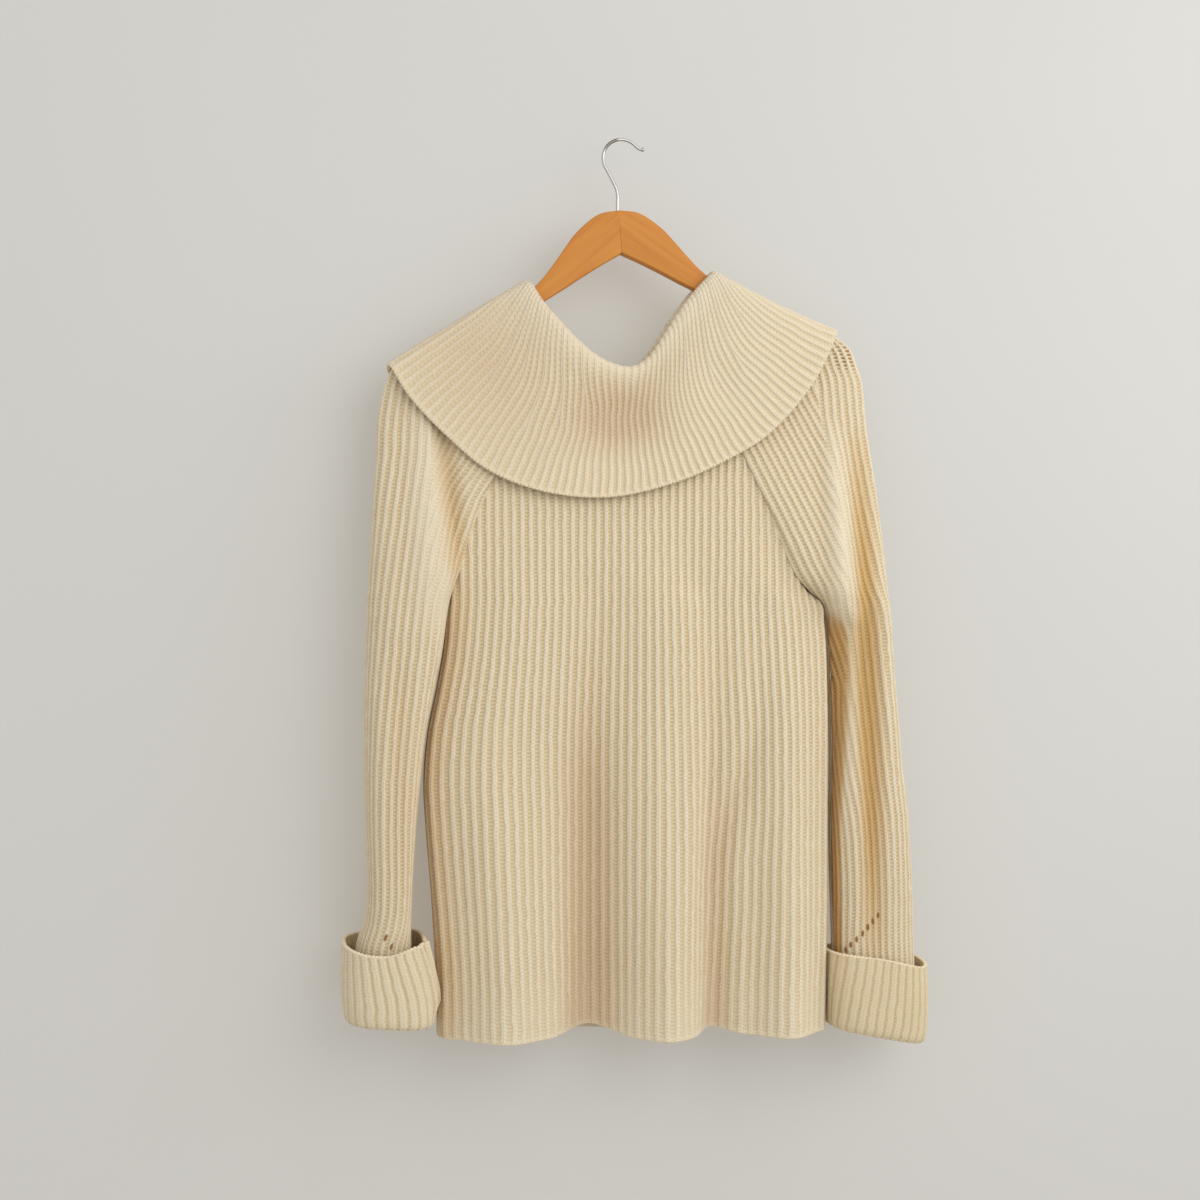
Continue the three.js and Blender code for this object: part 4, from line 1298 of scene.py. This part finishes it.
def ribTree():
    tree = bpy.data.node_groups.new("raiseRibs", "GeometryNodeTree")
    face = tree.interface
    face.new_socket("Geometry", in_out="INPUT", socket_type="NodeSocketGeometry")
    numbers = ("Ridge Height", "Valley Depth", "Ridge Share")
    numbers += ("Link Length", "Link Wide", "Link Deep")
    for name in numbers:
        face.new_socket(name, in_out="INPUT", socket_type="NodeSocketFloat")
    for name in ("Knit", "Chain"):
        face.new_socket(name, in_out="INPUT", socket_type="NodeSocketMaterial")
    face.new_socket("Geometry", in_out="OUTPUT", socket_type="NodeSocketGeometry")
    bench = Bench(tree)
    given = bench.add("NodeGroupInput")
    geometry, yarn, chainYarn = bench.pick(given, ("Geometry", "Knit", "Chain"))
    ridge, valley, share, linkLength, linkWide, linkDeep = bench.pick(given, numbers)

    def named(kind, name):
        return bench.add("GeometryNodeInputNamedAttribute", {"data_type": kind}, {"Name": name})

    def profile(name):
        side = (named("FLOAT", name).fraction() - 0.5).size() * 2
        return 1 - side.between(share - ribBlend, share + ribBlend)

    isChain = named("FLOAT", "chain").math("GREATER_THAN", named("FLOAT", "chain"), 0.5)
    parted = bench.add(
        "GeometryNodeSeparateGeometry", None, {"Geometry": geometry, "Selection": isChain}
    )
    line, shell = bench.pick(parted, ("Selection", "Inverted"))

    blend = named("FLOAT", "blend")
    top = profile("rib") * (1 - blend) + profile("ribBeside") * blend
    raised = top * (ridge + valley) - valley
    height = ridge + (raised - ridge) * named("FLOAT", "ribDepth")
    outward = named("FLOAT_VECTOR", "outward")
    lift = bench.add("ShaderNodeVectorMath", {"operation": "SCALE"}, {0: outward, "Scale": height})
    moved = bench.add("GeometryNodeSetPosition", None, {"Geometry": shell, "Offset": lift})
    knitted = bench.add("GeometryNodeSetMaterial", None, {"Geometry": moved, "Material": yarn})

    curve = bench.add("GeometryNodeMeshToCurve", None, {"Mesh": line})
    steps = {"Curve": curve, "Length": linkLength}
    even = bench.add("GeometryNodeResampleCurve", {"mode": "LENGTH"}, steps)
    tangent = bench.add("GeometryNodeInputTangent")
    along = bench.add("FunctionNodeAlignRotationToVector", {"axis": "X"}, {"Vector": tangent})
    twisted = bench.add(
        "FunctionNodeRotateRotation",
        {"rotation_space": "LOCAL"},
        {"Rotation": along, "Rotate By": (0.0, 0.0, linkTurn)},
    )
    ball = {"Segments": 8, "Rings": 6, "Radius": 1.0}
    link = bench.add("GeometryNodeMeshUVSphere", None, ball)
    size = {0: linkLength * linkShare, 1: linkDeep, 2: linkWide}
    size = bench.add("ShaderNodeCombineXYZ", None, size)
    links = bench.add(
        "GeometryNodeInstanceOnPoints",
        None,
        {"Points": even, "Instance": link, "Rotation": twisted, "Scale": size},
    )
    single = bench.add("GeometryNodeRealizeInstances", None, {"Geometry": links})
    dyed = {"Geometry": single, "Material": chainYarn}
    chained = bench.add("GeometryNodeSetMaterial", None, dyed)
    joined = bench.add("GeometryNodeJoinGeometry")
    for part in (chained, knitted):
        tree.links.new(part.socket, joined.socket.node.inputs[0])
    bench.add("NodeGroupOutput", None, {0: joined})
    return tree


def setInputs(modifier, values):
    for item in modifier.node_group.interface.items_tree:
        if item.in_out == "INPUT" and item.name in values:
            modifier[item.identifier] = values[item.name]


def bakePiece(name, mesh, tree, values):
    source = putInScene(name + "_plain", mesh)
    modifier = source.modifiers.new("nodes", "NODES")
    modifier.node_group = tree
    setInputs(modifier, values)
    graph = bpy.context.evaluated_depsgraph_get()
    made = bpy.data.meshes.new_from_object(
        source.evaluated_get(graph), preserve_all_data_layers=True, depsgraph=graph
    )
    source.modifiers.clear()
    bpy.data.objects.remove(source)
    made.name = name
    return putInScene(name, made)


def standFor(piece, node):
    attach(piece, "root")
    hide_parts(node)


raiseRibs = ribTree()
chainYarn = chainMaterial("castOffYarn", chainFinish)


def knitPiece(name, node, grid, yarn, isRing=False, isTurned=False, hasChain=True, shape=None):
    use = {**cloth, **(shape or {})}
    mesh = makeShell(name, grid, isRing, isTurned, hasChain)
    values = {
        "Ridge Height": use["ridge"] * mm,
        "Valley Depth": use["valley"] * mm,
        "Ridge Share": use["ridgeShare"],
        "Link Length": use["linkLength"] * mm,
        "Link Wide": use["linkWide"] * mm,
        "Link Deep": use["linkDeep"] * mm,
        "Knit": yarn,
        "Chain": chainYarn,
    }
    piece = bakePiece(name, mesh, raiseRibs, values)
    piece.data.shade_smooth()
    piece.data.set_sharp_from_angle(angle=math.radians(cloth["sharpAngle"]))
    for key in ("rib", "ribBeside", "blend", "outward", "chain"):
        if key in piece.data.attributes:
            piece.data.attributes.remove(piece.data.attributes[key])
    standFor(piece, node)
    print(name, len(piece.data.polygons), "faces")
    return piece


fineness = 7  # columns of faces for each rib
bodyYarn = knitMaterial("creamRibKnit", knitFinish)
frontPanel = knitPiece("front_knit", "front_panel", bodyGrid("front", fineness, 100), bodyYarn)
backGrid = bodyGrid("back", fineness, 90)
backPanel = knitPiece("back_knit", "back_panel", backGrid, bodyYarn, isTurned=True)
print("body knitted")

for word, use in sleeveSides.items():
    grid = sleeveGrid(use)
    first, last, count = use["eyelets"]
    eyelets = (stitchAt(grid, *first), stitchAt(grid, *last), count)
    yarn = knitMaterial("creamSleeve" + word, knitFinish | {"eyelets": eyelets})
    name, node = f"sleeve_{word}_knit", f"sleeve_{word}"
    knitPiece(name, node, grid, yarn, isTurned=use["isLeft"], hasChain=False)
print("sleeves knitted")

broad = {"ridgeShare": 0.68, "ridge": 0.45, "valley": 0.42}  # broad ribs with narrow gaps
# cuffs: broad ridges, faint stitches and a yellower tint of painted shade
cuffFinish = {"ridgeFrom": 0.5, "ridgeTo": 0.92, "stitchShade": 0.15, "dim": (0.88, 0.83, 0.71)}
cuffYarn = knitMaterial("creamCuff", knitFinish | cuffFinish)
for word, use in cuffSides.items():
    name, node, grid = f"cuff_{word}_knit", f"cuff_{word}", cuffGrid(use)
    isRound = {"isRing": True, "isTurned": True}
    knitPiece(name, node, grid, cuffYarn, shape=broad, **isRound)
print("cuffs knitted")

crisp = {"ridgeShare": 0.44, "ridge": 0.65, "valley": 0.6}  # narrow ribs with wide gaps
collarFinish = {"ridgeFrom": 0.26, "ridgeTo": 0.66, "stitchShade": 0.35}
collarYarn = knitMaterial("creamCollar", knitFinish | collarFinish)
collarPiece = knitPiece(
    "collar_knit", "cowl_collar", collarGrid(), collarYarn, isRing=True, shape=crisp
)
print("collar knitted")


# Hanger: two arms with rounded edges, mitred at the middle, and a bent wire hook
hanger = {
    "place": (-4.5, 0.0, -67.0),
    "roll": 4.5,  # degrees, right arm up
    "thickness": 11.5,
    "edge": 1.7,  # rounding
    "gap": 0.02,  # from the mitre to each arm
    "opening": 0.16,  # added to the gap at the mitre's lower end
    "openFrom": -14.0,
    "openTo": -34.0,
    "hub": 60.0,  # half-length of the tall middle, and stations along it and along the rest
    "stations": (26, 44),
    "tip": [(1.1, 0.5), (1.7, 1.36)],  # past the end of an arm, and how far it is drawn in there
    "cornerSteps": 5,
}
sharpAngle = 40  # degrees, of edges that stay sharp on wood and wire
armTable = asTable(
    "x top under",
    [
        (0, 0, -41),
        (20, -3.5, -51),
        (41, -18.5, -62.5),
        (54, -33.5, -70),
        (64, -46, -75.5),
        (76, -59.5, -82),
        (92, -73.5, -90),
        (134, -97.5, -112),
        (172, -116, -133),
        (204, -138, -152),
        (216, -150, -158),
    ],
)
hook = {
    "wire": 1.5,  # radius
    "radius": 18.5,  # of the bend
    "from": 216,
    "to": 44,  # degrees, anticlockwise from +X
    "shank": [(-4.5, -90), (-4.5, -75), (-4.5, -60), (-4.5, -51), (-6.3, -44.2)],
    "tip": [(17.2, -6.6), (20.2, -7.0)],
    "ball": 2.1,
    "bendSteps": 30,
    "ballSteps": 12,
    "steps": 180,
    "sides": 20,
}


def rodMesh(name, rings):  # a closed skin over rings of points, with flat ends
    count, sides = rings.shape[:2]
    mesh = bpy.data.meshes.new(name)
    faces = [tuple(range(sides))[::-1], tuple(range((count - 1) * sides, count * sides))]
    for k in range(count - 1):
        for i in range(sides):
            j = (i + 1) % sides
            base, after = k * sides, (k + 1) * sides
            faces.append((base + i, base + j, after + j, after + i))
    mesh.from_pydata((rings.reshape(-1, 3) * mm).tolist(), [], faces)
    return mesh


def showRigid(name, node, mesh, material):
    mesh.materials.append(material)
    mesh.shade_smooth()
    mesh.set_sharp_from_angle(angle=math.radians(sharpAngle))
    standFor(putInScene(name, mesh), node)


def armRings(side):
    edge, half = hanger["edge"], hanger["thickness"] / 2
    end, hub = armTable["x"][-1], hanger["hub"]
    inner, outer = hanger["stations"]
    stations = [*np.linspace(hanger["gap"], hub, inner), *np.linspace(hub + 3, end, outer)]
    tip = [(end + past, inset) for past, inset in hanger["tip"]]
    corners = ((1, 1, 0), (1, -1, 90), (-1, -1, 180), (-1, 1, 270))
    rings = []
    for x, inset in [(x, 0.0) for x in stations] + tip:
        reach = min(x, end)
        top = readColumn(armTable, "x", "top", reach) - edge
        under = readColumn(armTable, "x", "under", reach) + edge
        ring = []
        for depthSide, heightSide, turn in corners:
            middleY, middleZ = depthSide * (half - edge), top if heightSide > 0 else under
            for k in range(hanger["cornerSteps"]):
                angle = math.radians(90 - turn - 90 * k / (hanger["cornerSteps"] - 1))
                y = middleY + (edge - inset) * math.cos(angle)
                ring.append((side * x, y, middleZ + (edge - inset) * math.sin(angle)))
        rings.append(ring if side > 0 else ring[::-1])
    rings = np.array(rings)
    down = (hanger["openFrom"] - rings[0, :, 2]) / (hanger["openFrom"] - hanger["openTo"])
    rings[0, :, 0] += side * hanger["opening"] * smooth(down)
    roll = math.radians(hanger["roll"])
    x, z = rings[:, :, 0].copy(), rings[:, :, 2].copy()
    rings[:, :, 0] = x * math.cos(roll) - z * math.sin(roll)
    rings[:, :, 2] = x * math.sin(roll) + z * math.cos(roll)
    return rings + np.array(hanger["place"])


def hookRings():
    angles = np.radians(np.linspace(hook["from"], hook["to"], hook["bendSteps"]))
    middle = hook["wire"] - hook["radius"]
    bend = [(hook["radius"] * math.cos(a), middle + hook["radius"] * math.sin(a)) for a in angles]
    line = np.array(hook["shank"] + bend + hook["tip"])
    way = np.concatenate([[0], np.cumsum(np.linalg.norm(np.diff(line, axis=0), axis=1))])
    path = {"way": way, "x": line[:, 0], "z": line[:, 1]}
    end, ball = way[-1], hook["ball"]
    polar = np.cos(np.linspace(0.3, math.pi - 0.1, hook["ballSteps"]))
    at = np.concatenate([np.linspace(0, end - ball, hook["steps"]), end - ball * polar])
    reach = np.minimum(at, end)
    x, z = readColumn(path, "way", "x", reach), readColumn(path, "way", "z", reach)
    slopeX, slopeZ = np.gradient(x[: hook["steps"]]), np.gradient(z[: hook["steps"]])
    length = np.hypot(slopeX, slopeZ)
    tangent = np.stack([slopeX, slopeZ], axis=1) / length[:, None]
    tangent = np.concatenate([tangent, np.repeat(tangent[-1:], hook["ballSteps"], axis=0)])
    past = np.maximum(at - end, 0)
    x, z = x + past * tangent[:, 0], z + past * tangent[:, 1]
    onBall = np.sqrt(np.maximum(ball**2 - (at - end) ** 2, 0))
    radius = np.where(at > end, onBall, np.maximum(hook["wire"], onBall))
    turn = np.linspace(0, 2 * math.pi, hook["sides"], endpoint=False)
    aside = radius[:, None] * np.cos(turn)
    return np.stack(
        [
            x[:, None] - tangent[:, 1:] * aside,
            np.broadcast_to(radius[:, None] * np.sin(turn), aside.shape),
            z[:, None] + tangent[:, :1] * aside,
        ],
        axis=-1,
    )


for word, side, slope in (("left", -1, -40), ("right", 1, 32)):
    grain = woodMaterial("wood_" + word, woodFinish, slope)
    mesh = rodMesh("arm_" + word, armRings(side))
    showRigid("arm_" + word, "hanger_arm_" + word, mesh, grain)
wire = rodMesh("hook", hookRings())
showRigid("hook", "hanger_hook", wire, wireMaterial("hookWire", wireFinish))
print("hanger made")


# Studio: a pale wall close behind, a pale floor below, a large soft light from the right
studio = {
    "wall": sRGB(168, 171, 170),
    "wallGlow": sRGB(137, 130, 120),  # light scattered in the room that the lamps leave out
    "floor": sRGB(200, 198, 195),
    "wallY": 56.0,
    "floorZ": -1300.0,
    "sky": (0.965, 0.975, 1.0),
    "skyStrength": 0.83,
}
lamps = [
    # name, place, aimed at, size, watts, colour
    ("key", (650, -1650, 240), (0, 0, -430), 1500, 10, (1.0, 0.985, 0.965)),
    ("side", (1500, -750, 150), (0, 0, -430), 900, 5.5, (1.0, 0.985, 0.96)),
]


def paintedMaterial(name, colour, glow, isOneSided):
    material, bench = newMaterial(name)
    place = bench.add("ShaderNodeTexCoord", None, None, out=3)
    plaster = bench.noise(place, 3.0, 4.0)
    grit = bench.noise(place, 260.0, 3.0)
    paler = tuple(min(1.0, value * 1.05) for value in colour)
    tint = bench.mix(plaster, colour, paler)
    bump = bench.add("ShaderNodeBump", None, {"Strength": 0.05, "Distance": 0.0005, "Height": grit})
    paint = bench.add(
        "ShaderNodeBsdfPrincipled",
        None,
        {
            "Base Color": tint,
            "Roughness": 0.85,
            "Specular IOR Level": 0.2,
            "Normal": bump,
            "Emission Color": (*glow, 1),
            "Emission Strength": 1.0,
        },
    )
    if isOneSided:
        back = bench.add("ShaderNodeNewGeometry", None, None, out=6)
        clear = bench.add("ShaderNodeBsdfTransparent")
        paint = bench.add("ShaderNodeMixShader", None, {0: back, 1: paint, 2: clear})
    finishMaterial(bench, paint)
    return material


def makePlane(name, corners, material):
    mesh = bpy.data.meshes.new(name)
    mesh.from_pydata([Vector(corner) * mm for corner in corners], [], [(0, 1, 2, 3)])
    mesh.materials.append(material)
    putInScene(name, mesh)


wallY, floorZ = studio["wallY"], studio["floorZ"]
makePlane(
    "wall",
    [(-2500, wallY, floorZ), (2500, wallY, floorZ), (2500, wallY, 1400), (-2500, wallY, 1400)],
    paintedMaterial("wallPaint", studio["wall"], studio["wallGlow"], True),
)
makePlane(
    "floor",
    [(-2500, -2500, floorZ), (2500, -2500, floorZ), (2500, 2500, floorZ), (-2500, 2500, floorZ)],
    paintedMaterial("floorPaint", studio["floor"], (0.0, 0.0, 0.0), False),
)
for name, place, target, size, watts, colour in lamps:
    data = bpy.data.lights.new(name, "AREA")
    data.shape = "DISK"
    data.size = size * mm
    data.energy = watts
    data.color = colour
    aim(putInScene(name, data), place, Vector(target) - Vector(place))
world = bpy.data.worlds.new("studio")
world.use_nodes = True
sky = world.node_tree.nodes["Background"]
sky.inputs["Color"].default_value = (*studio["sky"], 1)
sky.inputs["Strength"].default_value = studio["skyStrength"]
scene.world = world
scene.view_settings.view_transform = "Standard"
print("studio lit")
